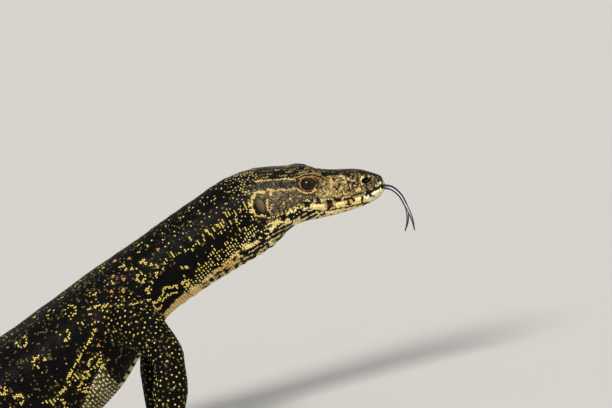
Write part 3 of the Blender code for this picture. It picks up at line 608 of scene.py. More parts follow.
def upper_limb(limb, sides=44, count=34):
    radii = LIMB_RADII[limb_kind(limb)][0]
    root, top, bend = (limb_place(limb, key)[0] for key in ("root", "top", "bend"))
    middle = (top + bend) / 2 + np.array([0.0, 0.0, 1.5])
    points, sizes = route([root, top, middle, bend], [(r, r) for r in radii], count)
    points, sizes = rounded_end(points, sizes)
    return tube_rings(points, sizes, sides, (0.2, 0.1, 1.0), -COAT)


def lower_limb(limb, sides=36, count=34):
    radii = LIMB_RADII[limb_kind(limb)][1]
    bend, end = (limb_place(limb, key)[0] for key in ("bend", "end"))
    flat = limb_place(limb, "bend")[1]
    run = end - bend
    stops = [bend, bend + run * 0.25 + flat, bend + run * 0.75, end]
    points, sizes = route(stops, [(r, r) for r in radii], count)
    points, sizes = rounded_end(points[::-1], sizes[::-1])
    return tube_rings(points[::-1], sizes[::-1], sides, (1.0, 0.3, 0.0), -COAT)


def toe_route(limb, toe, extra=0.0):
    """A toe's middle line, from inside the palm to its end, with its radii and direction."""
    end = limb_place(limb, "end")[0]
    ahead, across = foot_axes(limb)
    forward, outward, angle, length = toe
    turn = math.radians(angle)
    along = ahead * math.cos(turn) + across * math.sin(turn)
    start = end * (1, 1, 0) + ahead * forward + across * outward
    shares = (0.0, 0.22, 0.48, 0.74, 1.0)
    radii = [TOE_RADIUS + (TOE_TIP_RADIUS - TOE_RADIUS) * s for s in shares]
    lift = (0.0, 0.9, 1.6, 0.9, 0.7)
    points = [start + along * (length * s + (extra if s == 1.0 else 0.0))
              + np.array([0.0, 0.0, r - SOLE_SINK + h]) for s, r, h in zip(shares, radii, lift)]
    return points, [(r, r * 0.95) for r in radii], along


def toe_rings(limb, toe, sides=18, count=26):
    points, sizes, along = toe_route(limb, toe)
    points, sizes = route(points, sizes, count)
    swell = np.interp(np.linspace(0, 1, count), np.linspace(0, 1, len(TOE_SWELL)), TOE_SWELL)
    return tube_rings(points, sizes * swell[:, None], sides, np.cross(along, (0.0, 0.0, 1.0)), -0.3)


def palm_rings(limb, sides=32, count=18):
    end = limb_place(limb, "end")[0]
    ahead, across = foot_axes(limb)
    behind, forward, wide, high = PALM[limb_kind(limb)]
    shares = np.radians(np.linspace(-84, 84, count))
    middle, half = (forward - behind) / 2, (forward + behind) / 2
    points = [end * (1, 1, 0) + ahead * (middle + half * math.sin(a))
              + np.array([0.0, 0.0, high - SOLE_SINK - 0.9 * (1 + math.sin(a))]) for a in shares]
    sizes = [(wide * math.cos(a) ** 0.6, high * math.cos(a) ** 0.7) for a in shares]
    return tube_rings(points, sizes, sides, across, -0.3)


def ankle_rings(limb, sides=30, count=9):
    """Joins the palm to the lower limb, from well inside that limb."""
    radius = LIMB_RADII[limb_kind(limb)][1][-1]
    bend, end = (limb_place(limb, key)[0] for key in ("bend", "end"))
    down = (end - bend) / np.linalg.norm(end - bend)
    ahead, _ = foot_axes(limb)
    foot = (end + down * 6.0) * (1, 1, 0) + ahead * 4.0 + np.array([0.0, 0.0, 6.0])
    stops = [end - down * 4.0, end - down * 1.0, end + down * 3.0, foot]
    halves = [(radius, radius), (radius, radius), (radius * 0.97, radius * 0.97), (radius, 4.0)]
    points, sizes = route(stops, halves, count)
    return tube_rings(points, sizes, sides, (1.0, 0.3, 0.0), -COAT)


def limb_tubes():
    """The rings of every limb tube by name."""
    tubes = {}
    for limb in LIMBS:
        upper, lower = LIMB_PARTS[limb_kind(limb)]
        tubes[f"{limb}_{upper}"] = upper_limb(limb)
        tubes[f"{limb}_{lower}"] = lower_limb(limb)
        tubes[f"{limb}_ankle"] = ankle_rings(limb)
        tubes[f"{limb}_palm"] = palm_rings(limb)
        for number, toe in enumerate(TOES[limb_kind(limb)], 1):
            tubes[f"{limb}_toe_{number}"] = toe_rings(limb, toe)
    return tubes


def folded_edges(points, faces, least_degrees=16.0):
    """The two ends of each edge where the surface folds inwards by more than this, and of every edge."""
    normal = unit(face_normals(points, faces))
    middle = points[faces].mean(1)
    ends = np.sort(np.vstack([faces[:, :2], faces[:, 1:], faces[:, ::2]]), axis=1)
    face = np.tile(np.arange(len(faces)), 3)
    order = np.lexsort((ends[:, 1], ends[:, 0]))
    ends, face = ends[order], face[order]
    twin = np.flatnonzero((ends[1:] == ends[:-1]).all(1))
    one, two = face[twin], face[twin + 1]
    flat = np.einsum("ij,ij->i", normal[one], normal[two]) < math.cos(math.radians(least_degrees))
    inwards = np.einsum("ij,ij->i", normal[one], middle[two] - middle[one]) > 0
    return ends[twin[flat & inwards]], ends[twin]


# How wide the fillet is where a limb meets the trunk, at its bend, and at the foot and toes
FILLETS = (("top", 42.0, 11.0), ("bend", 26.0, 7.0), ("end", 14.0, 4.0))
TOE_FILLET = 1.6
LIMB_REACH = 75.0  # no fillet is further than this from one of these places
FILLET_STEEPNESS, FILLET_SMOOTHING = 1.6, 0.55
SMOOTHING_PASSES = 60
BEND_SMOOTHING, BEND_REACH = 0.45, 22.0  # the elbows and knees are rounded off


def fillet_reach(points):
    """How far a fillet reaches at each point of the skin, 0 away from the limbs."""
    reach = np.zeros(len(points))
    for limb in LIMBS:
        close = np.full(len(points), TOE_FILLET)
        near_limb = np.zeros(len(points), bool)
        for key, within, fillet in FILLETS:
            d = np.linalg.norm(points - limb_place(limb, key)[0], axis=1)
            close = np.where(d < within, np.maximum(close, fillet), close)
            near_limb |= d < LIMB_REACH
        reach = np.where(near_limb, np.maximum(reach, close), reach)
    return reach


def smoothed(points, faces):
    """The skin with its inward folds, where tubes meet, drawn into soft fillets."""
    folds, edges = folded_edges(points, faces)
    reach = fillet_reach(points)
    fold_ends = np.unique(folds)
    fold_ends = fold_ends[reach[fold_ends] > 0]
    tree = tree_of(points[fold_ends])
    weight = np.zeros(len(points))
    for i in np.flatnonzero(reach > 0):
        _, j, distance = tree.find(points[i])
        weight[i] = max(0.0, 1 - distance / reach[fold_ends[j]])
    weight = np.minimum(1.0, weight * FILLET_STEEPNESS) * FILLET_SMOOTHING
    for limb in LIMBS:
        d = np.linalg.norm(points - limb_place(limb, "bend")[0], axis=1)
        weight = np.maximum(weight, BEND_SMOOTHING * np.clip(1.3 - d / BEND_REACH, 0, 1))
    at = points.copy()
    one, two = edges[:, 0], edges[:, 1]
    count = np.bincount(one, minlength=len(at)) + np.bincount(two, minlength=len(at))
    for _ in range(SMOOTHING_PASSES):
        total = [np.bincount(one, at[two, k], len(at)) + np.bincount(two, at[one, k], len(at))
                 for k in range(3)]
        mean = np.stack(total, 1) / np.maximum(count, 1)[:, None]
        at += (mean - at) * weight[:, None]
    return at


def ball_mesh(centre, radii, turn=None, segments=40, rings=24):
    """Points and triangles of an ellipsoid, its poles along its own +Z, turned by a matrix."""
    angle = np.linspace(0, math.pi, rings + 1)[1:-1]
    around = np.arange(segments) * 2 * math.pi / segments
    ball = np.stack([np.outer(np.sin(angle), np.cos(around)), np.outer(np.sin(angle), np.sin(around)),
                     np.repeat(np.cos(angle)[:, None], segments, 1)], 2)
    points, faces = tube_mesh(ball)
    points[-2], points[-1] = (0, 0, 1), (0, 0, -1)
    points = points * np.asarray(radii)
    if turn is not None:
        points = points @ np.array(turn.to_3x3()).T
    return points + np.asarray(centre), faces


def eye_turn(side):
    """Turns +Z to the eye's own axis, which points out, a little ahead and up."""
    return Vector((0.24, side, 0.24)).to_track_quat("Z", "Y").to_matrix().to_4x4()


def lid_sections(side, around=84, section=14):
    """The raised ring of the lids round one eye, pointed in front and behind, with fine folds."""
    middle = eye_place(side, LID_PROUD)
    turn = np.array(eye_turn(side).to_3x3())
    half_width, half_depth = LID_HALF
    rows = []
    for a in np.arange(around) * 2 * math.pi / around:
        point = 1 + LID_POINT * abs(math.cos(a)) ** 5
        b = np.arange(section) * 2 * math.pi / section
        reach = half_width * (1 + np.cos(b))
        fold = 1 + 0.10 * np.sin(3 * b + 0.6) + 0.03 * math.sin(11 * a + 2 * side)
        place = np.stack([(LID_OPENING[0] * point + reach) * math.cos(a),
                          (LID_OPENING[1] + reach) * math.sin(a),
                          (half_depth * np.sin(b)) * fold - 0.15], 1)
        rows.append(place @ turn.T + middle)
    return np.array(rows)


def rim_sections(path, tree, radius, section=9):
    """A round bead along a closed path that is laid on the skin."""
    laid, out = [], []
    for p in path:
        place, normal, _, _ = tree.find_nearest(Vector(p))
        laid.append(np.array(place))
        out.append(np.array(normal))
    laid, out = np.array(laid), np.array(out)
    out = (out + np.roll(out, 1, 0) + np.roll(out, -1, 0)) / 3
    along = unit(np.roll(laid, -1, 0) - np.roll(laid, 1, 0))
    across = unit(np.cross(along, out))
    b = np.arange(section) * 2 * math.pi / section
    return (laid[:, None] + radius * np.cos(b)[None, :, None] * across[:, None]
            + radius * 0.85 * np.sin(b)[None, :, None] * out[:, None])


def ellipse_path(at, radii, side, tilt, count):
    """Points of an ellipse seen from the side, on the cheek."""
    a = np.arange(count) * 2 * math.pi / count
    lean = math.radians(tilt)
    dx, dz = radii[0] * np.cos(a), radii[1] * np.sin(a)
    x = at[0] + dx * math.cos(lean) - dz * math.sin(lean)
    z = at[1] + dz * math.cos(lean) + dx * math.sin(lean)
    return np.array([beside_head(px, pz, side, 1.0) for px, pz in zip(x, z)])


LEAST_HEIGHT = 0.35  # of the skin over the floor
EAR_RIM, NOSTRIL_RIM = (0.5, 0.95, 60), (0.35, 0.6, 36)  # distance from the opening, radius, points
EYE_CLEAR = 0.04


def head_rims(tree, side):
    """The raised rings round one eye, ear and nostril, as points and triangles."""
    made = [ring_mesh(lid_sections(side))]
    for at, radii, tilt, rim in ((EAR_AT, EAR_RADII, EAR_TILT, EAR_RIM),
                                 (NOSTRIL_AT, NOSTRIL_RADII, 0.0, NOSTRIL_RIM)):
        away, radius, count = rim
        path = ellipse_path(at, (radii[0] + away, radii[1] + away), side, tilt, count)
        made.append(ring_mesh(rim_sections(path, tree, radius)))
    return made


def head_cutters(side):
    """What hollows out one eye socket, the opening of its lids, the nostril and the ear."""
    opening = (LID_OPENING[0] * (1 + LID_POINT / 2), LID_OPENING[1], OPENING_DEPTH)
    over_lids = eye_place(side, LID_PROUD + OPENING_DEPTH / 2)
    cup = (EAR_RADII[0], EAR_CUP[1], EAR_RADII[1])
    return [ball_mesh(eye_place(side), [EYE_RADIUS + EYE_CLEAR] * 3, eye_turn(side)),
            ball_mesh(over_lids, opening, eye_turn(side), 64, 20),
            ball_mesh(beside_head(*NOSTRIL_AT, side, 0.2), NOSTRIL_HOLLOW, None, 32, 16),
            ball_mesh(beside_head(*EAR_AT, side, EAR_CUP[0]), cup, ear_turn(), 48, 24)]


def make_skin():
    """Points and triangles of the whole skin, with its lids, ears and nostrils."""
    loft = tube_mesh([skin_ring(at) for at in skin_stations()])
    tubes = limb_tubes()
    points, faces = combined(loft, [tube_mesh(rings) for rings in tubes.values()], "UNION")
    points = smoothed(points, faces)
    points[:, 2] = np.maximum(points[:, 2], LEAST_HEIGHT)
    tree = BVHTree.FromPolygons(points.tolist(), faces.tolist())
    rims = [rim for side in (-1, 1) for rim in head_rims(tree, side)]
    cutters = [cutter for side in (-1, 1) for cutter in head_cutters(side)]
    points, faces = combined((points, faces), rims, "UNION")
    points, faces = combined((points, faces), cutters, "DIFFERENCE")
    return points, faces, tubes


# The camera, turned with the slope that the animal stood on in the photograph

CAMERA_RISE, CAMERA_ROLL = math.radians(6.0), math.radians(12.0)
CAMERA_FAR, PIXEL_MM = 2500.0, 0.66  # distance, and what a pixel spans at the eye
PHOTO_WIDE, PHOTO_HIGH = 612, 408
EYE_PX = (308.0, 184.0)  # the right eye's middle in the photograph
EYE_PLACE = eye_place(-1)


def camera_axes():
    """The camera's own right, up and backwards directions."""
    right = np.array([1.0, 0.0, 0.0])
    back = np.array([0.0, -math.cos(CAMERA_RISE), math.sin(CAMERA_RISE)])
    up = np.cross(back, right)
    c, s = math.cos(CAMERA_ROLL), math.sin(CAMERA_ROLL)
    return right * c - up * s, right * s + up * c, back


CAMERA_RIGHT, CAMERA_UP, CAMERA_BACK = camera_axes()


def picture_place(points):
    """Where points are in the photograph, in pixels."""
    away = np.atleast_2d(points) - EYE_PLACE
    depth = CAMERA_FAR - away @ CAMERA_BACK
    scale = CAMERA_FAR / depth / PIXEL_MM
    return EYE_PX[0] + away @ CAMERA_RIGHT * scale, EYE_PX[1] - away @ CAMERA_UP * scale


def on_skin(tree, u, v):
    """The place on the right side of the skin that shows at a pixel of the photograph."""
    target = EYE_PLACE + (CAMERA_RIGHT * (u - EYE_PX[0]) - CAMERA_UP * (v - EYE_PX[1])) * PIXEL_MM
    middle = EYE_PLACE + CAMERA_BACK * CAMERA_FAR
    place, _, _, _ = tree.ray_cast(Vector(middle), Vector(target - middle).normalized(), 2 * CAMERA_FAR)
    return None if place is None else np.array(place)


# Where the scales stand

HEAD_PITCH, NECK_PITCH, CHEST_PITCH, TRUNK_PITCH, TAIL_PITCH, TIP_PITCH = 1.0, 1.12, 1.3, 1.75, 2.35, 1.8
UPPER_LIMB_PITCH, LOWER_LIMB_PITCH, FOOT_PITCH, TOE_PITCH = 1.4, 1.35, 1.4, 1.25
LID_PITCH = 0.8
ROW_STEP = 0.88  # the distance between rows, in pitches
FIRST_ROW, LAST_ROW = 5.0, TAIL_TIP_AT - 2.0
PLATES_TO = 92.0  # the station where the head's plates give way to the neck's beads
LABIAL_HIGH, MOUTH_DROP = 2.1, 1.0  # the scales along the lips, and how far the mouth sags between its ends
LABIAL_FROM, LABIAL_TO, LABIAL_STEP, LABIAL_PITCH = 3.0, MOUTH_BACK - 4.0, 1.9, 1.95
# How far a scale may settle from its row onto the skin, in millimetres
SETTLES_HEAD, SETTLES_LID, SETTLES = 0.55, 0.25, 2.6
# How close scales may stand to one another, in pitches
ROW_LEAST, FILLED_LEAST = 0.68, 0.74
# Bare places: one spot is tried for this area of skin, and is bare this many pitches from any scale
SPOT_AREA, BARE_GAP = 0.55, 0.78
# How far from the eyeball, nostril and ear the scales stop
EYE_MARGIN, NOSTRIL_MARGIN, EAR_MARGIN = 0.12, 1.12, 1.06
# The parts of the body that the scales tell apart, and the columns of the scales' data
ON_HEAD, ON_TRUNK, ON_TAIL, ON_LIMB, ON_FOOT, ON_TOE, ON_LID = range(7)
PLACE, OUT, REAR, PITCH, PART, ALONG, SHARE, SIDE, TUBE, MOVED = range(10)


def body_pitch(at):
    keys = (0.0, 80.0, 115.0, 200.0, 290.0, 360.0, 460.0, 560.0, 900.0, 1215.0)
    sizes = (HEAD_PITCH, HEAD_PITCH, NECK_PITCH, CHEST_PITCH, CHEST_PITCH, TRUNK_PITCH, TRUNK_PITCH,
             TAIL_PITCH, TAIL_PITCH, TIP_PITCH)
    return float(np.interp(at, keys, sizes))


def mouth_drop(at):
    return MOUTH_DROP * float(ease(at, 3.0, 12.0))


def row_lengths(at, row, pitch):
    """How far up and down from the mouth line the scales of one row stand."""
    _, _, arc, _, _, _ = half_section(at, -COAT)
    lips = at < LABIAL_TO
    both = []
    for end in (arc[-1], arc[0]):
        length = abs(end)
        start = LABIAL_HIGH + 0.2 - np.sign(end) * mouth_drop(at) if lips else 0.0
        count = max(1, round((length - start) / pitch))
        step = (length - start) / count
        rows = start + (np.arange(count + 1) + 0.5 * (row % 2)) * step
        rows = rows[(rows <= length - 0.3 * step) & (rows > start + 0.1 if lips else rows >= 0)]
        both.append(np.sign(end) * rows)
    return np.unique(np.round(np.concatenate(both), 4))


def body_rows():
    """Scale places over the body: places, pitch, part, station, share round from belly to back, side."""
    sets = []

    def add_row(at, pitch, lengths):
        both, around, _ = side_points(at, lengths)
        for sign, spots in zip((-1, 1), both):
            size = len(spots)
            sets.append((spots, np.full(size, pitch), np.full(size, at), around, np.full(size, sign)))

    at, row = FIRST_ROW, 0
    while at < LAST_ROW:
        pitch = body_pitch(at)
        add_row(at, pitch, row_lengths(at, row, pitch))
        at += pitch * ROW_STEP
        row += 1
    for height in (0.5 * LABIAL_HIGH + 0.15, -0.5 * LABIAL_HIGH - 0.15):
        for lip_at in np.arange(LABIAL_FROM, LABIAL_TO, LABIAL_STEP):
            add_row(lip_at, LABIAL_PITCH, np.array([height - mouth_drop(lip_at)]))
    places, pitches, stations, shares, sides = (np.concatenate(each) for each in zip(*sets))
    part = np.select([stations < PLATES_TO, stations < TAIL_FROM], [ON_HEAD, ON_TRUNK], ON_TAIL)
    return places, pitches, part, stations, shares, sides


def tube_rows(rings, pitch, part, side):
    """Scale places over a tube, in rows across it."""
    rings = np.asarray(rings)
    middle = rings.mean(1)
    run = np.concatenate([[0.0], np.cumsum(np.linalg.norm(np.diff(middle, axis=0), axis=1))])
    closed = np.concatenate([rings, rings[:, :1]], 1)
    places, alongs, shares = [], [], []
    for row, at in enumerate(np.arange(0.3 * pitch, run[-1], pitch * ROW_STEP)):
        i = min(np.searchsorted(run, at, "right") - 1, len(run) - 2)
        t = (at - run[i]) / max(run[i + 1] - run[i], 1e-9)
        ring = closed[i] * (1 - t) + closed[i + 1] * t
        arc = np.concatenate([[0.0], np.cumsum(np.linalg.norm(np.diff(ring, axis=0), axis=1))])
        count = max(4, round(arc[-1] / pitch))
        spots = (np.arange(count) + 0.5 * (row % 2)) / count * arc[-1]
        places.append(np.stack([np.interp(spots, arc, ring[:, k]) for k in range(3)], 1))
        alongs.append(np.full(count, at / run[-1]))
        shares.append(spots / arc[-1])
    places, alongs, shares = (np.concatenate(each) for each in (places, alongs, shares))
    count = len(places)
    return (places, np.full(count, pitch), np.full(count, part), alongs, shares, np.full(count, side))


TUBE_SCALES = (("toe", TOE_PITCH, ON_TOE), ("palm", FOOT_PITCH, ON_FOOT), ("ankle", FOOT_PITCH, ON_FOOT),
               ("upper_arm", UPPER_LIMB_PITCH, ON_LIMB), ("thigh", UPPER_LIMB_PITCH, ON_LIMB),
               ("forearm", LOWER_LIMB_PITCH, ON_LIMB), ("shin", LOWER_LIMB_PITCH, ON_LIMB))


def limb_rows(tubes):
    """Scale places over the limbs, in one set for each limb tube."""
    sets = []
    for name, rings in tubes.items():
        pitch, part = next(row[1:] for row in TUBE_SCALES if row[0] in name)
        sets.append(tube_rows(rings, pitch, part, -1 if "right" in name else 1))
    return sets


def directions(name, places, tubes):
    """The direction towards the claws at each place of a limb tube."""
    middle = np.asarray(tubes[name]).mean(1)
    along = unit(np.gradient(middle, axis=0))
    near = np.argmin(((places[:, None] - middle[None]) ** 2).sum(2), axis=1)
    return along[near]


def vertex_normals(points, faces):
    normal = face_normals(points, faces)
    total = [sum(np.bincount(faces[:, c], normal[:, k], len(points)) for c in range(3)) for k in range(3)]
    return unit(np.stack(total, 1))


def settled(places, tree, points, faces, normals):
    """The nearest places on the skin, their normals, and how far each moved."""
    found = np.zeros((len(places), 3))
    face = np.zeros(len(places), int)
    moved = np.zeros(len(places))
    for i, p in enumerate(places):
        place, _, index, distance = tree.find_nearest(p)
        found[i], face[i], moved[i] = place, index, distance
    corners = faces[face]
    weight = 1 / (np.linalg.norm(points[corners] - found[:, None], axis=2) + 0.05)
    return found, unit((normals[corners] * weight[:, :, None]).sum(1)), moved


def thinned(places, pitches, order, least):
    """The scales that keep their distance from those before them in the order."""
    tree = tree_of(places)
    state = np.zeros(len(places), int)
    for i in order:
        if state[i] < 0:
            continue
        state[i] = 1
        for _, j, _ in tree.find_range(places[i], least * pitches[i]):
            if state[j] == 0:
                state[j] = -1
    return state > 0


def place_scales(points, faces, tubes):
    """Every scale's data in columns, the skin's search tree, and the names of the tubes they are on."""
    tree = BVHTree.FromPolygons(points.tolist(), faces.tolist())
    normals = vertex_normals(points, faces)
    body = body_rows()
    sets, names = limb_rows(tubes), list(tubes)
    last = int(TAIL_TIP_AT)
    ahead = np.array([body_frame(at)[3] for at in range(last + 1)])
    rears = [-ahead[np.clip(np.round(body[3]).astype(int), 0, last)]]
    rears += [directions(name, each[0], tubes) for name, each in zip(names, sets)]
    for side in (-1, 1):
        sections = lid_sections(side)
        lid = tube_rows(np.concatenate([sections, sections[:1]]), LID_PITCH, ON_LID, side)
        names.append("lid")
        sets.append(lid)
        rears.append(np.tile((-1.0, 0.0, 0.0), (len(lid[0]), 1)))
    everything = [body, *sets]
    columns = [np.concatenate([each[k] for each in everything]) for k in range(6)]
    tube = np.concatenate([np.full(len(each[0]), k) for k, each in enumerate(everything)])
    found, out, moved = settled(columns[0], tree, points, faces, normals)
    data = [found, out, np.concatenate(rears), *columns[1:], tube, moved]
    allowed = np.select([data[PART] == ON_HEAD, data[PART] == ON_LID], [SETTLES_HEAD, SETTLES_LID], SETTLES)
    data = [each[moved < allowed] for each in data]
    order = np.argsort(np.round(data[MOVED], 1), kind="stable")
    chosen = thinned(data[PLACE], data[PITCH], order, ROW_LEAST)
    data = [each[chosen] for each in data]
    extra = filled(data, points, faces, normals)
    return [np.concatenate([a, b]) for a, b in zip(data, extra)], tree, names


def filled(data, points, faces, normals):
    """More scales wherever the rows leave a bare place."""
    rng = np.random.default_rng(11)
    area = np.linalg.norm(face_normals(points, faces), axis=1) / 2
    count = int(area.sum() / SPOT_AREA)
    face = rng.choice(len(faces), count, p=area / area.sum())
    a, b = rng.random(count), rng.random(count)
    flip = a + b > 1
    a, b = np.where(flip, 1 - a, a), np.where(flip, 1 - b, b)
    weights = np.stack([1 - a - b, a, b], 1)[:, :, None]
    places = (points[faces[face]] * weights).sum(1)
    out = unit((normals[faces[face]] * weights).sum(1))
    tree = tree_of(data[PLACE])
    nearest, gap = np.zeros(count, int), np.zeros(count)
    for i, p in enumerate(places):
        _, nearest[i], gap[i] = tree.find(p)
    bare = (gap > BARE_GAP * data[PITCH][nearest]) & ~in_opening(places)
    places, out, nearest = places[bare], out[bare], nearest[bare]
    chosen = thinned(places, data[PITCH][nearest], np.arange(len(places)), FILLED_LEAST)
    return [places[chosen], out[chosen]] + [each[nearest[chosen]] for each in data[REAR:]]


def in_opening(places):
    """True inside the eye sockets, nostrils and ears, where no scales grow."""
    inside = np.zeros(len(places), bool)
    lean = math.radians(EAR_TILT)
    for side in (-1, 1):
        inside |= np.linalg.norm(places - eye_place(side), axis=1) < EYE_RADIUS + EYE_MARGIN
        away = places - beside_head(*NOSTRIL_AT, side, 0.2)
        inside |= ((away / NOSTRIL_HOLLOW) ** 2).sum(1) < NOSTRIL_MARGIN
        away = places - beside_head(*EAR_AT, side, EAR_CUP[0])
        dx = away[:, 0] * math.cos(lean) + away[:, 2] * math.sin(lean)
        dz = away[:, 2] * math.cos(lean) - away[:, 0] * math.sin(lean)
        share = (dx / EAR_RADII[0]) ** 2 + (away[:, 1] / EAR_CUP[1]) ** 2 + (dz / EAR_RADII[1]) ** 2
        inside |= share < EAR_MARGIN
    return inside


# The markings. Places are pixels of the photograph on the right side; the left side takes them
# mirrored and a little shifted. Sizes are millimetres.

def tone(red, green, blue):
    """A colour from its values on a screen, 0 to 255."""
    value = np.array([red, green, blue]) / 255.0
    return np.where(value <= 0.04045, value / 12.92, ((value + 0.055) / 1.055) ** 2.4)


BLACK, DEEP, SLATE, GREY = tone(9, 8, 9), tone(38, 32, 24), tone(72, 71, 62), tone(110, 104, 80)
YELLOW, CREAM, ORANGE = tone(255, 226, 118), tone(255, 232, 164), tone(240, 172, 92)
# LIT_CREAM is cream painted brighter as painted light, for pale fields that the lamps light too little.
LIT_CREAM, WARM = tone(255, 242, 196), tone(255, 224, 152)
TAN, OLIVE, DULL = tone(174, 146, 88), tone(112, 100, 58), tone(132, 118, 62)
GOLDEN, LID, STRIPE = tone(222, 184, 122), tone(176, 132, 84), tone(234, 204, 130)

# Rings and parts of rings on the trunk: middle, radius in pixels, and where the arc starts and ends
TRUNK_RINGS = (
    (70.4, 311.0, 5.6, -110, 100), (70.4, 311.0, 5.6, 150, 190), (21.6, 341.6, 5.6, -60, 165),
    (38.6, 361.8, 5.2, 95, 265), (64.6, 335.6, 5.2, -60, 75), (86.1, 375.2, 3.4, 0, 360),
    (75.3, 377.8, 2.4, 0, 360), (141.2, 278.0, 4.4, -80, 215), (3.0, 391.0, 3.4, -120, 120),
    (19.0, 399.6, 4.6, -150, 60), (59.0, 405.0, 6.0, -170, 20), (51.6, 313.8, 4.0, 160, 300),
    (83.0, 388.0, 4.2, 0, 360), (149.0, 290.0, 2.6, 0, 360),
)
# Lines and single spots, all in YELLOW
TRUNK_LINES = (
    ((89.3, 308.9), (89.0, 311.4), (89.9, 314.6)), ((95.7, 307.0), (98.9, 305.7), (102.0, 307.0),
                                                    (105.2, 306.3), (108.6, 304.0)),
    ((77.8, 322.9), (80.4, 324.4), (82.9, 323.5)), ((92.1, 324.2), (95.0, 322.7), (98.2, 321.6)),
    ((94.0, 294.8), (96.5, 293.0)), ((107.8, 284.0), (112.9, 282.7)), ((125.6, 269.6), (132.0, 269.0)),
    ((120.5, 267.0), (123.7, 265.5)), ((59.0, 299.0), (62.0, 297.6)), ((76.5, 284.0), (80.4, 280.8)),
    ((100.0, 270.6), (103.3, 267.8)), ((3.8, 340.0), (7.0, 337.0)), ((12.0, 334.4),), ((34.4, 317.2),),
    ((140.9, 262.3),), ((144.1, 259.8), (145.4, 263.0)), ((151.1, 264.4),), ((139.0, 252.1),),
    ((138.4, 245.1),), ((147.3, 245.7),), ((43.4, 403.0), (50.4, 401.4)), ((60.6, 393.0), (65.7, 388.0)),
    ((152.4, 282.7),), ((156.9, 273.2), (156.3, 277.0)), ((60.2, 334.4),), ((44.9, 359.5),),
)
ORANGE_SPOTS = ((112.2, 291.7), (123.7, 290.0), (123.5, 279.5), (113.1, 275.7), (129.1, 258.2),
                (98.5, 345.9), (157.5, 249.2), (115.4, 260.4))
FLANK_LINES = (
    ((95.0, 329.9), (91.2, 338.9)), ((89.3, 342.0), (82.3, 352.2), (78.4, 360.5)),
    ((75.3, 364.4), (70.8, 372.7), (67.6, 379.0), (70.2, 385.4)), ((102.0, 362.4), (104.6, 368.8)),
    ((100.8, 352.9), (94.0, 357.5), (89.3, 361.2), (88.0, 366.3), (91.8, 368.8), (97.6, 365.0),
     (101.4, 356.0)), ((82.0, 384.0), (87.0, 392.0)),
)
SHOULDER_LINES = (
    ((118.6, 305.3), (122.4, 304.8)), ((130.1, 304.4), (137.1, 303.5), (144.1, 302.1), (148.0, 306.3)),
    ((148.0, 300.2), (150.5, 299.7)),
    ((153.1, 302.5), (158.8, 301.2), (162.6, 294.8), (163.3, 288.5), (167.1, 287.2), (169.0, 288.5)),
    ((170.9, 287.2), (177.3, 285.3), (176.7, 287.8)), ((162.0, 301.2), (168.4, 294.8), (177.3, 292.3)),
    ((153.1, 302.5), (155.0, 307.6), (158.8, 309.5), (161.4, 306.3)), ((155.0, 309.5), (159.4, 314.0),
                                                                       (164.5, 315.3)),
    ((182.0, 284.0), (184.5, 281.0), (188.0, 280.0), (190.0, 283.0), (187.0, 286.0)),
)
# The ticks of the neck's side chain and of the rows under it: middle and length in pixels
CHAIN_TICKS = (
    (156.7, 266.7, 4), (162.5, 268.4, 2), (164.2, 263.2, 4), (166.3, 259.2, 4), (172.2, 254.6, 6.5),
    (179.1, 253.5, 3), (181.4, 246.6, 3), (185.4, 250.6, 4), (188.0, 249.8, 3), (191.8, 249.5, 3),
    (193.5, 246.0, 2), (195.2, 244.3, 2), (198.4, 242.0, 5), (203.0, 236.3, 3), (204.4, 239.7, 3),
    (205.2, 231.7, 4), (209.0, 232.2, 6), (211.8, 235.1, 2), (214.7, 229.4, 5), (215.9, 225.4, 3),
    (218.7, 225.9, 4), (221.6, 225.4, 5), (223.3, 220.8, 5), (221.0, 232.8, 3), (225.6, 214.4, 6),
    (229.1, 213.9, 4), (230.8, 222.5, 6), (236.0, 213.3, 5), (237.1, 220.8, 4), (240.6, 210.4, 2),
    (239.4, 224.2, 2), (244.0, 205.3, 6), (246.9, 207.6, 4), (249.7, 204.1, 5), (251.5, 211.0, 4),
    (182.5, 267.8, 3), (185.0, 267.2, 3), (187.2, 266.7, 3), (190.6, 238.0, 5.5),
)
NAPE_SPOTS = (
    (204.4, 204.1), (202.1, 197.8), (207.0, 197.4), (211.0, 189.0), (216.0, 188.7), (221.0, 188.3),
    (200.4, 200.7), (211.5, 201.5), (189.5, 207.6), (189.5, 210.6), (193.5, 207.6), (198.6, 210.4),
    (200.4, 213.3), (204.4, 213.9), (209.0, 217.3), (201.5, 221.9), (191.8, 225.4), (190.6, 221.9),
    (180.9, 217.6), (183.0, 217.4), (169.9, 219.4), (183.7, 232.8), (175.1, 235.1), (174.5, 232.2),
    (165.9, 226.3), (162.5, 232.5), (163.4, 239.1), (169.4, 243.7), (165.4, 246.2), (147.0, 245.8),
    (138.6, 244.9), (142.4, 242.0), (151.0, 240.8), (138.9, 251.8), (143.5, 260.9), (140.7, 262.7),
    (124.0, 265.5), (136.0, 268.4), (225.6, 203.8), (217.6, 207.0), (233.1, 198.9), (229.0, 191.5),
    (235.0, 188.5), (241.0, 187.5), (215.3, 198.4), (246.0, 192.0), (238.0, 195.0),
)
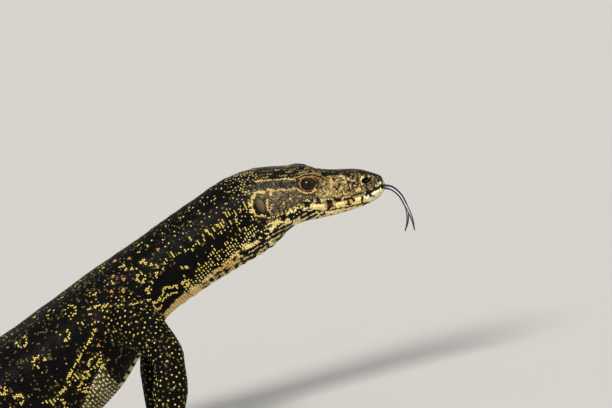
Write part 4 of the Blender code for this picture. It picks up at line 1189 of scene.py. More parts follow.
# Edges of the colour fields, from the tail end to the head end
LOW_EDGE = ((188.0, 281.0), (193.5, 275.3), (207.3, 259.2), (215.3, 248.9), (230.2, 242.0), (244.0, 229.4),
            (253.2, 219.0), (262.0, 217.0))
CREAM_EDGE = ((160.0, 480.0), (167.0, 330.0), (178.6, 302.0), (191.2, 288.0), (207.3, 276.5), (217.6, 268.4),
              (232.5, 255.8), (245.1, 244.3), (253.2, 236.0), (267.0, 224.0), (285.0, 213.0), (302.0, 204.5))
CREAM_PATCH = ((185.4, 292.4), (190.5, 295.0), (189.5, 301.5), (168.4, 319.8), (164.6, 318.4), (164.6, 312.0),
               (177.4, 298.6))
NECK_BLOCK = ((190.5, 286.5), (198.0, 285.2), (201.0, 289.0), (197.0, 296.0), (192.0, 295.0))
NECK_RING = (211.8, 279.5, 4.3)  # its middle and radius
BELLY_PATCH = ((101.0, 364.0), (104.6, 368.8), (118.6, 385.4), (121.0, 392.0), (118.0, 420.0), (78.0, 420.0),
               (86.0, 398.0), (92.0, 385.0))
REAR_RINGS_FROM, REAR_RINGS_STEP, GIRTH_REACH = 326.0, 24.0, 38.0
TAIL_BAND = 34.0
THROAT_LINES = 4.4  # pixels from one line of dashes to the next
# Lines on the head: colour, half width in millimetres, points
HEAD_LINES = (
    ("yellow", 0.5, ((255.5, 181.4), (266.4, 180.3), (277.9, 179.6), (285.9, 178.6), (295.0, 179.5))),
    ("golden", 0.65, ((267.6, 189.4), (274.4, 191.2), (280.2, 189.6), (285.9, 190.4), (291.7, 188.9),
                     (298.0, 188.6))),
    ("yellow", 1.1, ((252.8, 197.5), (254.9, 193.4), (258.4, 191.9), (264.1, 192.9))),
    ("yellow", 0.6, ((270.4, 191.7), (271.0, 195.2))),
    ("tan", 0.5, ((296.0, 177.6), (303.0, 174.2), (313.5, 173.4), (321.0, 175.4), (327.5, 179.4))),
    ("deep", 0.4, ((297.5, 178.6), (303.5, 175.7), (313.0, 174.9), (320.5, 177.0), (326.0, 181.0))),
    ("lid", 0.5, ((298.5, 179.6), (304.0, 177.0), (312.5, 176.2), (319.5, 178.4), (324.5, 182.0))),
    ("yellow", 0.6, ((296.6, 188.6), (300.5, 191.6), (305.5, 193.2), (311.5, 192.8), (316.5, 189.6))),
    ("black", 0.3, ((298.6, 188.2), (303.0, 191.2), (308.5, 191.8), (314.0, 190.0))),
    ("golden", 1.0, ((330.5, 179.5), (332.0, 182.5))),
    ("yellow", 0.7, ((267.0, 199.8), (267.6, 210.0), (270.4, 212.4))),
    ("yellow", 0.6, ((271.6, 205.0), (270.6, 209.5))),
    ("yellow", 0.8, ((258.0, 216.0), (265.0, 216.0))),
    ("yellow", 0.55, ((252.4, 199.0), (251.6, 204.5), (252.6, 210.5), (255.5, 215.0))),
    ("yellow", 0.5, ((268.5, 218.5), (277.9, 216.0), (285.9, 211.6), (294.0, 207.8), (301.0, 203.6))),
    ("cream", 1.0, ((362.6, 177.6), (361.6, 180.6), (362.6, 184.4))),
    ("pale", 1.4, ((357.0, 190.8), (360.4, 189.6))),
    ("cream", 0.9, ((376.0, 186.0), (381.5, 183.0))),
)
# Short, dull streaks on the crown, and half their width in millimetres
HEAD_STREAKS = (
    ((266.4, 174.6), (272.5, 174.0)), ((275.0, 170.2), (280.5, 169.8)), ((285.5, 166.4), (290.5, 165.6)),
    ((286.0, 172.4), (291.0, 171.6)), ((292.5, 169.6), (298.5, 168.2)),
    ((297.0, 174.4), (302.5, 171.8), (308.0, 171.0)), ((304.0, 168.4), (309.0, 168.0)),
    ((309.5, 170.6), (314.5, 171.4)), ((316.0, 172.6), (320.5, 174.2)), ((262.0, 177.6), (268.0, 177.0)),
    ((280.0, 176.2), (286.5, 175.4)),
)
STREAK_HALF = 0.4
LINE_COLOURS = {"yellow": STRIPE, "golden": GOLDEN, "cream": CREAM, "black": BLACK, "deep": DEEP, "tan": TAN,
                "lid": LID, "pale": CREAM * 0.72, "streak": STRIPE * 0.42}
HEAD_SPOTS = (
    ("black", 0.6, ((271.5, 217.9), (275.5, 216.8), (280.5, 214.8), (284.0, 212.6), (288.5, 210.6),
                    (292.0, 209.0), (296.5, 206.6), (300.0, 204.4))),
    ("pale", 0.8, ((337.6, 179.7), (343.9, 178.0), (347.9, 179.2), (345.0, 182.2), (341.0, 175.9),
                     (340.5, 189.6), (346.2, 186.2), (350.2, 186.0), (315.2, 199.8), (336.0, 196.0),
                     (330.0, 193.0), (324.0, 196.5), (352.5, 181.0), (344.0, 193.5), (290.5, 199.0),
                     (283.5, 203.0), (300.5, 196.0))),
    ("black", 0.85, ((315.6, 203.0), (312.5, 200.0), (318.0, 199.0), (333.5, 179.0), (354.5, 183.5),
                     (339.5, 184.5), (349.5, 190.5), (336.5, 189.0), (326.5, 184.0), (349.5, 175.5))),
)
UPPER_EDGE = ((252.0, 182.0), (266.4, 180.6), (277.9, 180.0), (296.0, 180.0), (308.0, 176.0), (322.0, 178.0),
              (334.0, 174.6), (360.0, 173.6), (384.0, 179.0))
MOUTH_EDGE = ((300.0, 203.4), (316.0, 203.4), (335.4, 203.0), (343.0, 201.6), (351.6, 199.4), (359.7, 196.8),
              (370.0, 193.4), (377.0, 190.6), (383.5, 187.4))
# A dark line is painted along this groove under the lower lip as painted shade.
CHIN_GROOVE = ((368.6, 202.0), (349.0, 206.7), (329.6, 210.0), (320.4, 211.3))
# The lower lip's pale plates, the front one painted brighter as painted light, and the dark bars between them
LIP_PLATES = (((364.5, 196.6), (371.0, 193.4), (377.0, 190.8), (382.8, 188.4), (382.0, 193.0), (376.0, 198.2),
               (368.0, 201.4)), ((351.0, 201.6), (360.8, 198.4), (361.5, 202.6), (352.0, 205.4)),
              ((336.5, 203.4), (345.2, 202.6), (345.0, 206.6), (336.0, 208.4)),
              ((311.5, 205.0), (324.6, 204.4), (324.5, 208.8), (312.0, 209.6)))
LIP_BARS = ((371.4, 195.8), (373.6, 195.4), (362.6, 198.0), (362.0, 200.0), (354.6, 200.2), (349.4, 204.2),
            (347.0, 201.6), (346.4, 204.4), (328.6, 208.2), (330.4, 207.0), (333.6, 205.6), (307.5, 212.0),
            (310.8, 213.6), (309.6, 216.4), (308.4, 218.6))
LIP_BAR_HALF, GROOVE_LINE_HALF, MOUTH_LINE_HALF = 0.8, 0.5, 0.62
# Painted shade: the slit of the mouth is painted dark.
MOUTH_SHADE = tone(40, 26, 22)
# The rings round the eye: middle and half sizes in pixels, and where each ring ends as a share of them. The
# innermost ring, at the lids' inner edge, and the two outermost, in the furrow round the lids, are painted
# dark as shade.
EYE_RING = (307.8, 184.2, 10.4, 8.8)
RIM_SHADE_SIDE, LID_SIDE, FURROW_SIDE, SHADE_SIDE = 0.74, 0.86, 1.0, 1.12
# Columns in the picture where the fields of neck and head meet, from the tail end to the head end
TICKS_U, NAPE_LOOSE_U, NAPE_U, JAW_REAR_U = 184.0, 214.0, 226.0, 243.0
CHEEK_REAR_U, CROWN_SPECKS_U, CHEEK_DARK_U, TEMPLE_FRONT_U = 254.0, 257.0, 290.0, 299.0
MOUTH_U, DASHES_DENSE_U, THROAT_U, LIP_U, SNOUT_U, DASHES_U = 301.0, 302.0, 303.0, 304.0, 316.0, 318.0
CHIN_HOLES_U, TAN_FRONT_U, BARS_U, TIP_U, NOSE_U = 333.0, 343.0, 347.0, 373.0, 382.0
HOLES_THIN_U, LIP_STRIP_U = (262.0, 300.0), (311.0, 362.0)
# Heights in the picture where they meet
TAN_TOP_V, TIP_FOOT_V, BARS_FOOT_V, TEMPLE_V, TAN_FOOT_V = 181.0, 187.0, 189.0, 189.5, 197.0
CHEEK_SLANT_V, THROAT_V, CROWN_SPECKS_V = 198.0, 203.0, 226.0
THROAT_SLOPE, DASH_LENGTH, DASH_LEAN = 0.52, 8.5, 0.4  # how the lines of dashes fall, and pixels to a dash
# Stations where the body's marks change
NECK_MARKS_FROM, HEAD_MARKS_TO, NAPE_SPECKS_FROM, NECK_MARKS_TO = 78.0, 90.0, 112.0, 215.0
TRUNK_MARKS, RINGS_FIELD_FROM = (185.0, 480.0), 318.0
CHEST_MARKS_FROM, BELLY_MARKS_FROM, EDGE_MARKS_TO = 205.0, 262.0, 470.0
# Where the belly, its edge and the chest start, as shares of the way round from the side to the underside
BELLY_SHARE, EDGE_SHARE, CHEST_SHARE = -0.86, -0.62, -0.93
BEAD_REACH = 2.5  # a mark that is further than this from any scale is left out


def inside_outline(u, v, outline):
    """True for the places inside an outline in the picture."""
    within = np.zeros(len(u), bool)
    for (au, av), (bu, bv) in zip(outline, outline[1:] + outline[:1]):
        crosses = (av > v) != (bv > v)
        edge = au + (v - av) / (bv - av if bv != av else 1e-9) * (bu - au)
        within ^= crosses & (u < edge)
    return within


def along_line(points, step):
    """Places at even steps along a broken line in the picture."""
    points = np.asarray(points, float)
    if len(points) == 1:
        return points
    run = np.concatenate([[0.0], np.cumsum(np.linalg.norm(np.diff(points, axis=0), axis=1))])
    at = np.linspace(0.0, run[-1], max(2, int(run[-1] / step) + 1))
    return np.stack([np.interp(at, run, points[:, k]) for k in range(2)], 1)


def line_distance(u, v, points):
    """How far places in the picture are from a broken line, in millimetres."""
    points = np.asarray(points, float)
    here = np.stack([u, v], 1)
    if len(points) == 1:
        return np.linalg.norm(here - points[0], axis=1) * PIXEL_MM
    best = np.full(len(u), np.inf)
    for a, b in zip(points, points[1:]):
        run = b - a
        t = np.clip(((here - a) @ run) / max(run @ run, 1e-9), 0, 1)
        best = np.minimum(best, np.linalg.norm(here - a - t[:, None] * run, axis=1))
    return best * PIXEL_MM


class Hide:
    """The scales with their places, and the colours that the markings give them."""

    def __init__(self, scales, skin_tree):
        self.place, self.part, self.along, self.around, self.side, self.tube = (
            scales[column] for column in (PLACE, PART, ALONG, SHARE, SIDE, TUBE))
        self.skin_tree = skin_tree
        self.rng = np.random.default_rng(5)
        self.count = len(self.place)
        self.colour = np.tile(BLACK, (self.count, 1))
        self.soft = np.zeros(self.count)  # 1 where the skin between the scales is as pale as they are
        folded = self.place.copy()
        folded[:, 1] = -np.abs(folded[:, 1])
        drift = np.stack([lattice_noise(self.place / 16.0, seed) for seed in (21, 22, 23)], 1) * 2.2
        left = (self.side > 0) & (np.abs(self.place[:, 1]) > 2.0)
        folded[left] += drift[left] * np.clip(self.along[left, None] / 120.0, 0.25, 1.0)
        self.u, self.v = picture_place(folded)
        self.chance = self.rng.random(self.count)
        on_body = self.tube == 0
        rows = np.unique(np.round(self.along[on_body], 3))
        self.row = np.where(on_body, np.searchsorted(rows, np.round(self.along, 3)), 0)
        thick = np.array([(row[3] + (row[4] + row[5]) / 2) / 2 for row in BODY_STATIONS])
        self.girth = np.arcsin(np.clip(self.around, -1, 1)) * np.interp(self.along, STATION_KEYS, thick)
        self.tree = tree_of(self.place)

    def set(self, chosen, colour, strength=1.0):
        self.colour[chosen] = self.colour[chosen] * (1 - strength) + colour * strength

    def soften(self, chosen, amount):
        self.soft[chosen] = amount

    def scatter(self, field, colour, share):
        """Gives this colour to a share of a field's scales, here and there."""
        self.set(field & (self.rng.random(self.count) < share), colour)

    def fill(self, field, colour, *specks):
        """Gives a field one colour, then each of the specks' colours to its share of it."""
        self.set(field, colour)
        for other, share in specks:
            self.scatter(field, other, share)

    def cells(self, rows, millimetres, seed, gap=0.0):
        """A number from 0 to 1 for each patch that is this many rows long and this wide round the body,
        and 1 for the gap at its end."""
        row = (self.row // rows) * 2 + (self.side > 0)
        across = self.girth / millimetres + mixed(row * 7919 + seed)
        cell = np.floor(across).astype(np.int64)
        number = mixed(row * 73856093 ^ cell * 19349663 ^ seed * 83492791)
        return np.where(across - cell > 1.0 - gap, 1.0, number)

    def spaced(self, field, distance):
        """Scales of a field that are spread evenly, at least this far apart."""
        taken = np.zeros(self.count, int)
        for i in self.rng.permutation(np.flatnonzero(field)):
            if taken[i]:
                continue
            for _, j, _ in self.tree.find_range(self.place[i], distance):
                taken[j] = max(taken[j], 1)
            taken[i] = 2
        return taken == 2

    def both_sides(self, u, v):
        """The place on the skin at a pixel, and its mirror image a little moved."""
        place = on_skin(self.skin_tree, u, v)
        if place is None:
            return []
        return [place, place * (1, -1, 1) + self.rng.normal(0.0, 0.9, 3)]

    def beads(self, points, colour, step=3.3, half=0.95):
        """A line of spots drawn on the right side, with its mirror image, as rosettes and bars are."""
        for u, v in along_line(points, step):
            for here in self.both_sides(u, v):
                near = [j for _, j, _ in self.tree.find_range(here, half)]
                _, nearest, away = self.tree.find(here)
                self.set(near or ([nearest] if away < BEAD_REACH else []), colour)

    def tick(self, u, v, length, colour):
        """A short bar along one row of scales."""
        for here in self.both_sides(u, v):
            _, nearest, away = self.tree.find(here)
            if away > BEAD_REACH:
                continue
            near = [j for _, j, _ in self.tree.find_range(here, length * PIXEL_MM / 2 + 0.1)
                    if self.row[j] == self.row[nearest]]
            self.set(near or [nearest], colour)


def ring_line(u, v, radius, start, end):
    """Points along an arc in the picture, its angles running clockwise from the right."""
    turns = np.radians(np.linspace(start, end, max(4, int(abs(end - start) / 24))))
    return [(u + radius * math.cos(a), v + radius * math.sin(a)) for a in turns]


def edge_height(edge, u):
    return np.interp(u, [p[0] for p in edge], [p[1] for p in edge])


def paint_body(hide):
    """The neck and trunk, apart from the marks drawn one by one."""
    body = np.isin(hide.part, (ON_TRUNK, ON_TAIL)) | ((hide.part == ON_HEAD) & (hide.along > NECK_MARKS_FROM))
    at, arc, rows = hide.along, hide.around, hide.row % 5
    patch = lattice_noise(hide.place / 9.0, 32)
    faint = lattice_noise(hide.place / 7.0, 34)
    hide.set(body, BLACK)
    trunk = body & (at > TRUNK_MARKS[0]) & (at < TRUNK_MARKS[1])
    hide.scatter(trunk, DULL * 0.7, 0.05)
    hide.scatter(trunk & (np.abs(faint - 0.25) < 0.06), DULL * 0.75, 0.38)
    hide.scatter(trunk & (np.abs(faint + 0.30) < 0.03), YELLOW * 0.6, 0.2)
    paint_rear_rings(hide, body & (at > RINGS_FIELD_FROM) & (at < EDGE_MARKS_TO))
    paint_neck(hide, body & (at < NECK_MARKS_TO), patch)
    belly = body & (at >= BELLY_MARKS_FROM) & (at < TAIL_FROM) & (arc < BELLY_SHARE)
    hide.set(belly, CREAM)
    hide.set(belly & ((rows == 0) | (hide.cells(5, 7.0, 36) < 0.18)), BLACK)
    chest = body & (at >= CHEST_MARKS_FROM) & (at < BELLY_MARKS_FROM) & (arc < CHEST_SHARE)
    hide.set(chest & (rows < 3), CREAM)
    edge = body & (at >= BELLY_MARKS_FROM) & (at < EDGE_MARKS_TO) & (arc < EDGE_SHARE) & (arc >= BELLY_SHARE)
    hide.set(edge & (rows < 3) & (hide.cells(5, 3.4, 37) < 0.55), YELLOW)
    hide.set(edge & (patch > 0.35) & (rows > 2), BLACK)


def paint_neck(hide, neck, patch):
    """Specks on the nape, rows of ticks low on the side, and a lattice of pale blocks below."""
    u, v, arc, every_other = hide.u, hide.v, hide.around, hide.row % 2 == 0
    low, cream = edge_height(LOW_EDGE, u), edge_height(CREAM_EDGE, u)
    specks = hide.spaced(neck & (u > NAPE_U) & (v < low - 10.0), 2.1)
    hide.set(specks & (hide.chance < 0.62), STRIPE * 0.85)
    hide.set(specks & (hide.chance > 0.80), DULL)
    wide = neck & (u > NAPE_LOOSE_U) & (u <= NAPE_U) & (v < low - 10.0)
    hide.set(hide.spaced(wide, 2.4) & (hide.chance < 0.6), STRIPE * 0.75)
    upper = neck & (hide.along > NAPE_SPECKS_FROM) & (arc > 0.0)
    hide.scatter(upper, DULL, 0.05)
    hide.scatter(upper, SLATE, 0.06)
    front = neck & (u > TICKS_U)
    above = front & (v > low - 15.0) & (v <= low) & every_other
    hide.set(above & (hide.cells(1, 1.6, 51) < 0.13), DULL)
    hide.set(above & (v > low - 7.0) & (hide.cells(1, 2.6, 54, 0.4) < 0.34), YELLOW)
    share = np.clip((v - low) / np.maximum(cream - low, 4.0), 0, 1)
    ticks = front & (v > low) & (v <= cream) & every_other
    lit = ticks & (hide.cells(1, 2.8, 52, 0.46) < 0.72 + 0.28 * share)
    hide.set(lit, YELLOW)
    hide.set(lit & (share > 0.6), CREAM)
    pale = neck & (v > cream)
    holes = lattice_noise(hide.place / 2.5, 58)
    hide.set(pale, WARM)
    hide.set(pale & (hide.cells(1, 5.0, 56) < 0.25), YELLOW)
    hide.set(pale & (patch > 0.14), ORANGE, 0.5)
    hide.set(pale & every_other, TAN * 1.1)
    hide.soften(pale, 0.85)
    hide.set(pale & (holes < -0.16) & (arc > -0.97), BLACK)


def paint_rear_rings(hide, behind):
    """Rings in rows across the rear trunk, where the photograph shows none."""
    for number, row_at in enumerate(np.arange(REAR_RINGS_FROM, EDGE_MARKS_TO, REAR_RINGS_STEP)):
        for k in range(5):
            high = 0.92 - 0.38 * k - 0.19 * (number % 2)
            for side in (-1, 1):
                size = 5.6 - 0.5 * k + hide.rng.normal(0, 0.4)
                middle_at, middle_arc = row_at + hide.rng.normal(0, 1.5), high + hide.rng.normal(0, 0.03)
                along, across = hide.along - middle_at, (hide.around - middle_arc) * GIRTH_REACH
                beads = np.sin(np.arctan2(across, along) * 7 + number + k) > -0.35
                ring = behind & (hide.side == side) & (np.abs(np.hypot(along, across) - size) < 0.85)
                hide.set(ring & beads, YELLOW)


def paint_tail(hide):
    """Bands of yellow spots on black, closing up to pale bars with dark ones between on the underside."""
    tail = hide.part == ON_TAIL
    at, arc = hide.along, hide.around
    bars = wave(at - TAIL_FROM, TAIL_BAND)
    spots = lattice_noise(np.stack([at / 3.4, arc * 5.0, hide.side * 9.0], 1), 33)
    hide.set(tail & (bars > 0.1) & (spots > 0.12), YELLOW)
    hide.scatter(tail & (bars > 0.78), YELLOW, 0.5)
    hide.scatter(tail & (bars < 0.1), DULL, 0.06)
    under = tail & (arc < -0.55)
    hide.set(under, CREAM)
    hide.set(under & (bars < -0.15), BLACK)


def paint_limbs(hide):
    """Black with round yellow spots, evenly scattered."""
    hide.fill(np.isin(hide.part, (ON_LIMB, ON_FOOT, ON_TOE)), BLACK, (DULL, 0.05))
    for parts, distance in (((ON_LIMB,), 3.2), ((ON_FOOT, ON_TOE), 2.6)):
        bright = hide.spaced(np.isin(hide.part, parts), distance)
        hide.set(bright, YELLOW)
        hide.set(bright & (hide.chance > 0.6), DULL)
    rows = np.sin(2 * math.pi * hide.along * 3.0)
    hide.set((hide.part == ON_TOE) & (rows > 0.75) & (hide.chance < 0.7), YELLOW)


def paint_head(hide):
    """The head's colour fields, then its lines and spots."""
    grain = lattice_noise(hide.place / 1.7, 41)
    ragged_u = hide.u + 3.0 * lattice_noise(hide.place / 4.5, 46)
    ragged_v = hide.v + 1.3 * lattice_noise(hide.place / 3.5, 47)
    head = ((hide.part == ON_HEAD) & (hide.along < HEAD_MARKS_TO)) | (hide.part == ON_LID)
    side = head & (ragged_v > edge_height(UPPER_EDGE, hide.u))
    mouth = edge_height(MOUTH_EDGE, hide.u)
    paint_crown(hide, head)
    paint_cheek(hide, side, ragged_u)
    paint_snout(hide, side, ragged_u, ragged_v)
    lip = side & (hide.u > LIP_U) & (hide.v > mouth - 4.2) & (hide.v <= mouth)
    hide.set(lip, DEEP * 1.6)
    hide.set(lip & (grain > 0.12), CREAM * 0.8)
    hide.set(lip & (grain < -0.36), DEEP)
    hide.soften(side, 0.35)
    front = (hide.part != ON_TAIL) & (hide.tube == 0) & (head | (ragged_u > JAW_REAR_U))
    throat_edge = np.where(hide.u > THROAT_U, mouth + 0.3, edge_height(CREAM_EDGE, hide.u))
    paint_underside(hide, front & (ragged_v > throat_edge), mouth, grain)
    paint_lower_lip(hide, head, mouth)
    ring = np.hypot((hide.u - EYE_RING[0]) / EYE_RING[2], (hide.v - EYE_RING[1]) / EYE_RING[3])
    # Painted shade in the furrow round the lids
    hide.set(head & (ring > FURROW_SIDE) & (ring < SHADE_SIDE), DEEP, 0.8)
    hide.set(head & (ring > LID_SIDE) & (ring <= FURROW_SIDE), DEEP)
    hide.set(head & (ring > RIM_SHADE_SIDE) & (ring <= LID_SIDE + 0.04 * grain), LID)
    for name, half, points in (*HEAD_LINES, *(("streak", STREAK_HALF, line) for line in HEAD_STREAKS)):
        reach = half * (0.95 + 0.5 * grain)
        hide.set(head & (line_distance(hide.u, hide.v, points) < reach), LINE_COLOURS[name])
    for name, half, spots in HEAD_SPOTS:
        for spot in spots:
            hide.set(head & (line_distance(hide.u, hide.v, [spot]) < half), LINE_COLOURS[name])
    # Painted shade at the lids' inner edge, round the eye
    hide.set(head & (ring <= RIM_SHADE_SIDE), BLACK)
    # Painted shade along the slit of the mouth
    hide.set(head & (hide.u > MOUTH_U) & (np.abs(hide.v - mouth) < MOUTH_LINE_HALF), MOUTH_SHADE)


def paint_crown(hide, head):
    """Black with streaks of olive, under all the head's other fields."""
    streaks = lattice_noise(hide.place / (4.5, 1.2, 1.2), 43)
    hide.fill(head, BLACK, (DEEP, 0.30), (OLIVE, 0.08))
    hide.scatter(head & (streaks > 0.32), OLIVE, 0.45)
    hide.scatter(head & (streaks > 0.42), OLIVE * 1.4, 0.26)
    specks = hide.spaced(head & (hide.u < CROWN_SPECKS_U) & (hide.v < CROWN_SPECKS_V), 1.7)
    hide.set(specks & (hide.chance < 0.6), STRIPE * 0.8)


def paint_cheek(hide, side, ragged_u):
    """The slate temple, and the greyer cheek below it."""
    behind = side & (ragged_u > CHEEK_REAR_U)
    temple = behind & (ragged_u < TEMPLE_FRONT_U) & (hide.v < TEMPLE_V)
    hide.fill(temple, SLATE, (DEEP, 0.34), (GREY, 0.26))
    rear = CHEEK_REAR_U + np.clip(hide.v - CHEEK_SLANT_V, 0, 14)
    cheek = side & (ragged_u < SNOUT_U) & (ragged_u > rear) & (hide.v >= TEMPLE_V)
    hide.fill(cheek, GREY * 0.78, (SLATE * 0.9, 0.36), (TAN * 0.85, 0.22))
    hide.scatter(cheek & (hide.u < CHEEK_DARK_U), DEEP, 0.08)


def paint_snout(hide, side, ragged_u, ragged_v):
    """Speckled tan, with dark bars towards the nostril and a greyer tip."""
    u, v = hide.u, hide.v
    snout = side & (ragged_u >= SNOUT_U)
    hide.fill(snout, TAN * 0.55, (DEEP, 0.24), (SLATE, 0.16), (TAN * 0.95, 0.26), (GOLDEN * 0.9, 0.08))
    tan = snout & (ragged_u < TAN_FRONT_U) & (ragged_v > TAN_TOP_V) & (v < TAN_FOOT_V)
    hide.fill(tan, TAN * 0.9, (SLATE * 1.1, 0.22), (CREAM * 0.75, 0.16))
    bars = snout & (u > BARS_U) & (u < TIP_U) & (v < BARS_FOOT_V)
    hide.set(bars & (wave(u, 4.4) > 0.35), DEEP * 1.3)
    tip = side & (ragged_u > TIP_U) & (v < TIP_FOOT_V)
    hide.fill(tip, GREY * 0.95, (TAN, 0.35))
    hide.set(tip & (u < NOSE_U) & (wave(u, 3.4) > 0.4), DEEP)
    hide.set(tip & (ragged_u > NOSE_U), TAN)


def paint_underside(hide, below, mouth, grain):
    """The pale underside of jaw and throat, with black holes in it."""
    u = hide.u
    hide.fill(below, CREAM, (STRIPE, 0.3), (TAN, 0.05))
    paint_throat(hide, below & (u < DASHES_U), grain)
    holes = lattice_noise(hide.place / 2.2, 59)
    hide.set(below & (holes < -0.12 - 0.3 * ease(u, *HOLES_THIN_U)), BLACK)
    chin = below & (u >= DASHES_U) & (u < CHIN_HOLES_U) & (hide.v > mouth + 5.0)
    hide.set(chin & (grain < -0.36), BLACK)
    hide.soften(below, 1.0)


def paint_lower_lip(hide, head, mouth):
    """A speckled strip under the mouth, with pale plates, dark bars and the groove below them, painted dark
    as shade.
    """
    u, v = hide.u, hide.v
    strip = head & (u > LIP_STRIP_U[0]) & (u < LIP_STRIP_U[1]) & (v > mouth) & (v < mouth + 4.6)
    hide.fill(strip, TAN * 1.15, (DEEP * 1.5, 0.22))
    for number, plate in enumerate(LIP_PLATES):
        # Painted light: the front plate is painted brighter than the others.
        hide.set(head & inside_outline(u, v, plate), WARM if number else LIT_CREAM)
    for spot in LIP_BARS:
        hide.set(head & (line_distance(u, v, [spot]) < LIP_BAR_HALF), BLACK)
    # Painted shade along the groove under the lower lip
    hide.set(head & (line_distance(u, v, CHIN_GROOVE) < GROOVE_LINE_HALF), OLIVE * 0.4)


def paint_throat(hide, throat, grain):
    """Black dashes in lines that run back from the jaw."""
    slope = hide.v - (THROAT_V + (THROAT_U - hide.u) * THROAT_SLOPE)
    run = (hide.u - hide.v * DASH_LEAN) / DASH_LENGTH
    line = np.floor(slope / THROAT_LINES).astype(np.int64)
    dash = np.floor(run + mixed(line * 7919 + 3)).astype(np.int64)
    least = np.where(hide.u < DASHES_DENSE_U, -0.66, -0.4)
    dark = wave(slope + 1.5 * grain, THROAT_LINES) > least
    kept = mixed(line * 73856093 ^ dash * 19349663 ^ 45) < 0.86
    hide.set(throat & (slope > -1.0) & dark & kept, BLACK)


def paint_marks(hide):
    """The marks of the neck, shoulder and trunk that the photograph shows one by one."""
    for ring in TRUNK_RINGS:
        hide.beads(ring_line(*ring), YELLOW)
    for line in (*TRUNK_LINES, *FLANK_LINES):
        hide.beads(line, YELLOW)
    for line in SHOULDER_LINES:
        hide.beads(line, YELLOW, 2.2, 0.8)
    for spot in ORANGE_SPOTS:
        hide.beads((spot,), ORANGE, half=1.15)
    for u, v, length in CHAIN_TICKS:
        hide.tick(u, v, length, YELLOW)
    for u, v in NAPE_SPOTS:
        hide.tick(u, v, 1.5, YELLOW)
    trunk, every_other = hide.part == ON_TRUNK, hide.row % 2 == 0
    patch = trunk & inside_outline(hide.u, hide.v, CREAM_PATCH)
    hide.fill(patch, WARM, (ORANGE, 0.2))
    hide.set(patch & every_other, STRIPE * 0.75)
    hide.soften(patch, 1.0)
    hide.fill(trunk & inside_outline(hide.u, hide.v, NECK_BLOCK), WARM, (ORANGE, 0.3))
    off = np.hypot(hide.u - NECK_RING[0], hide.v - NECK_RING[1]) / NECK_RING[2]
    hide.set(trunk & (off < 1.3), WARM)
    hide.set(trunk & (off < 1.3) & (hide.row % 3 == 0), TAN)
    hide.set(trunk & (off < 0.55), BLACK)
    belly = trunk & inside_outline(hide.u, hide.v, BELLY_PATCH)
    # Painted light: the pale belly patch is painted brighter than cream and gets less painted shade between
    # its scales, as it faces down, away from the lamps.
    hide.fill(belly, LIT_CREAM, (CREAM, 0.4))
    hide.soften(belly, 0.5)
    hide.fill(belly & every_other, OLIVE * 0.7, (TAN, 0.3))
    hide.set(belly & (hide.cells(1, 4.2, 57, 0.4) > 0.99), OLIVE * 0.3)


UNEVENNESS = 0.10  # how much brighter or darker a scale is than its mark


def painted(hide):
    """Colours for every scale, each a little different from its neighbours."""
    paint_body(hide)
    paint_tail(hide)
    paint_limbs(hide)
    paint_head(hide)
    paint_marks(hide)
    bright = 1 + hide.rng.normal(0.0, UNEVENNESS, hide.count)
    return np.clip(hide.colour * bright[:, None], 0.0, 1.0)


# The scales' meshes

RISE = np.array([0.19, 0.38, 0.52, 0.38, 0.34, 0.32, 0.14])  # how high the scales of each part stand
HEXAGON = np.radians(np.arange(6) * 60.0)
RING = np.arange(6)
AFTER = (RING + 1) % 6
PLATE_SUNK, BEAD_SUNK = 0.3, 0.13
TOP_SHARE = 0.68
PLATE_HALF, BEAD_HALF = 0.56, 0.70  # in pitches
FOOT_FACES = [[0, 2, 1], [0, 3, 2], [0, 5, 3], [3, 5, 4]]
TOP_FACES = [[6, 7, 8], [6, 8, 9], [6, 9, 11], [9, 10, 11]]
BEAD_FACES = np.vstack([np.stack([RING, AFTER, np.full(6, 6)], 1), FOOT_FACES])
PLATE_FACES = np.vstack([np.stack([RING, AFTER, AFTER + 6], 1), np.stack([RING, AFTER + 6, RING + 6], 1),
                         TOP_FACES, FOOT_FACES])


def scale_mesh(place, out, rear, pitch, rise, plates):
    """Points and triangles of the scales, and each point's place on its own scale.

    Each is a closed bead with a six-sided foot or, as a plate, a low dome with a flat top."""
    along = unit(rear - (rear * out).sum(1)[:, None] * out)
    across = np.cross(out, along)
    half = (PLATE_HALF if plates else BEAD_HALF) * pitch[:, None]
    foot = np.stack([np.cos(HEXAGON), np.sin(HEXAGON)], 1)
    if plates:
        local = np.vstack([foot, foot * TOP_SHARE])
        lift = np.where(np.arange(12) < 6, -PLATE_SUNK, rise[:, None] * (1 + 0.12 * local[None, :, 0]))
        faces = PLATE_FACES
    else:
        local = np.vstack([foot, [[0.18, 0.0]]])
        lift = np.where(np.arange(7) < 6, -BEAD_SUNK, rise[:, None])
        faces = BEAD_FACES
    points = (place[:, None] + (half * local[:, 0])[:, :, None] * along[:, None]
              + (half * local[:, 1])[:, :, None] * across[:, None] + lift[:, :, None] * out[:, None])
    starts = np.arange(len(place))[:, None, None] * len(local)
    return points.reshape(-1, 3), (starts + faces).reshape(-1, 3), local


PATCH = 0.0015  # half of a scale's patch on the unwrap


def unwrapped(along, share, side, tube, local):
    """Each scale's patch at its place on an unwrap of the skin: body halves, or the tubes of a limb."""
    tubes = np.unique(tube)
    if tubes[0] == 0:
        low, high = along.min(), along.max()
        root = np.stack([0.01 + 0.98 * (along - low) / (high - low),
                         np.where(side < 0, 0.25, 0.75) + 0.24 * share], 1)
    else:
        across = math.ceil(math.sqrt(len(tubes)))
        cell = np.searchsorted(tubes, tube)
        inside = 0.03 + 0.94 * np.stack([share, along], 1)
        root = (np.stack([cell % across, cell // across], 1) + inside) / across
    return (root[:, None] + PATCH * local[None]).reshape(-1, 2)


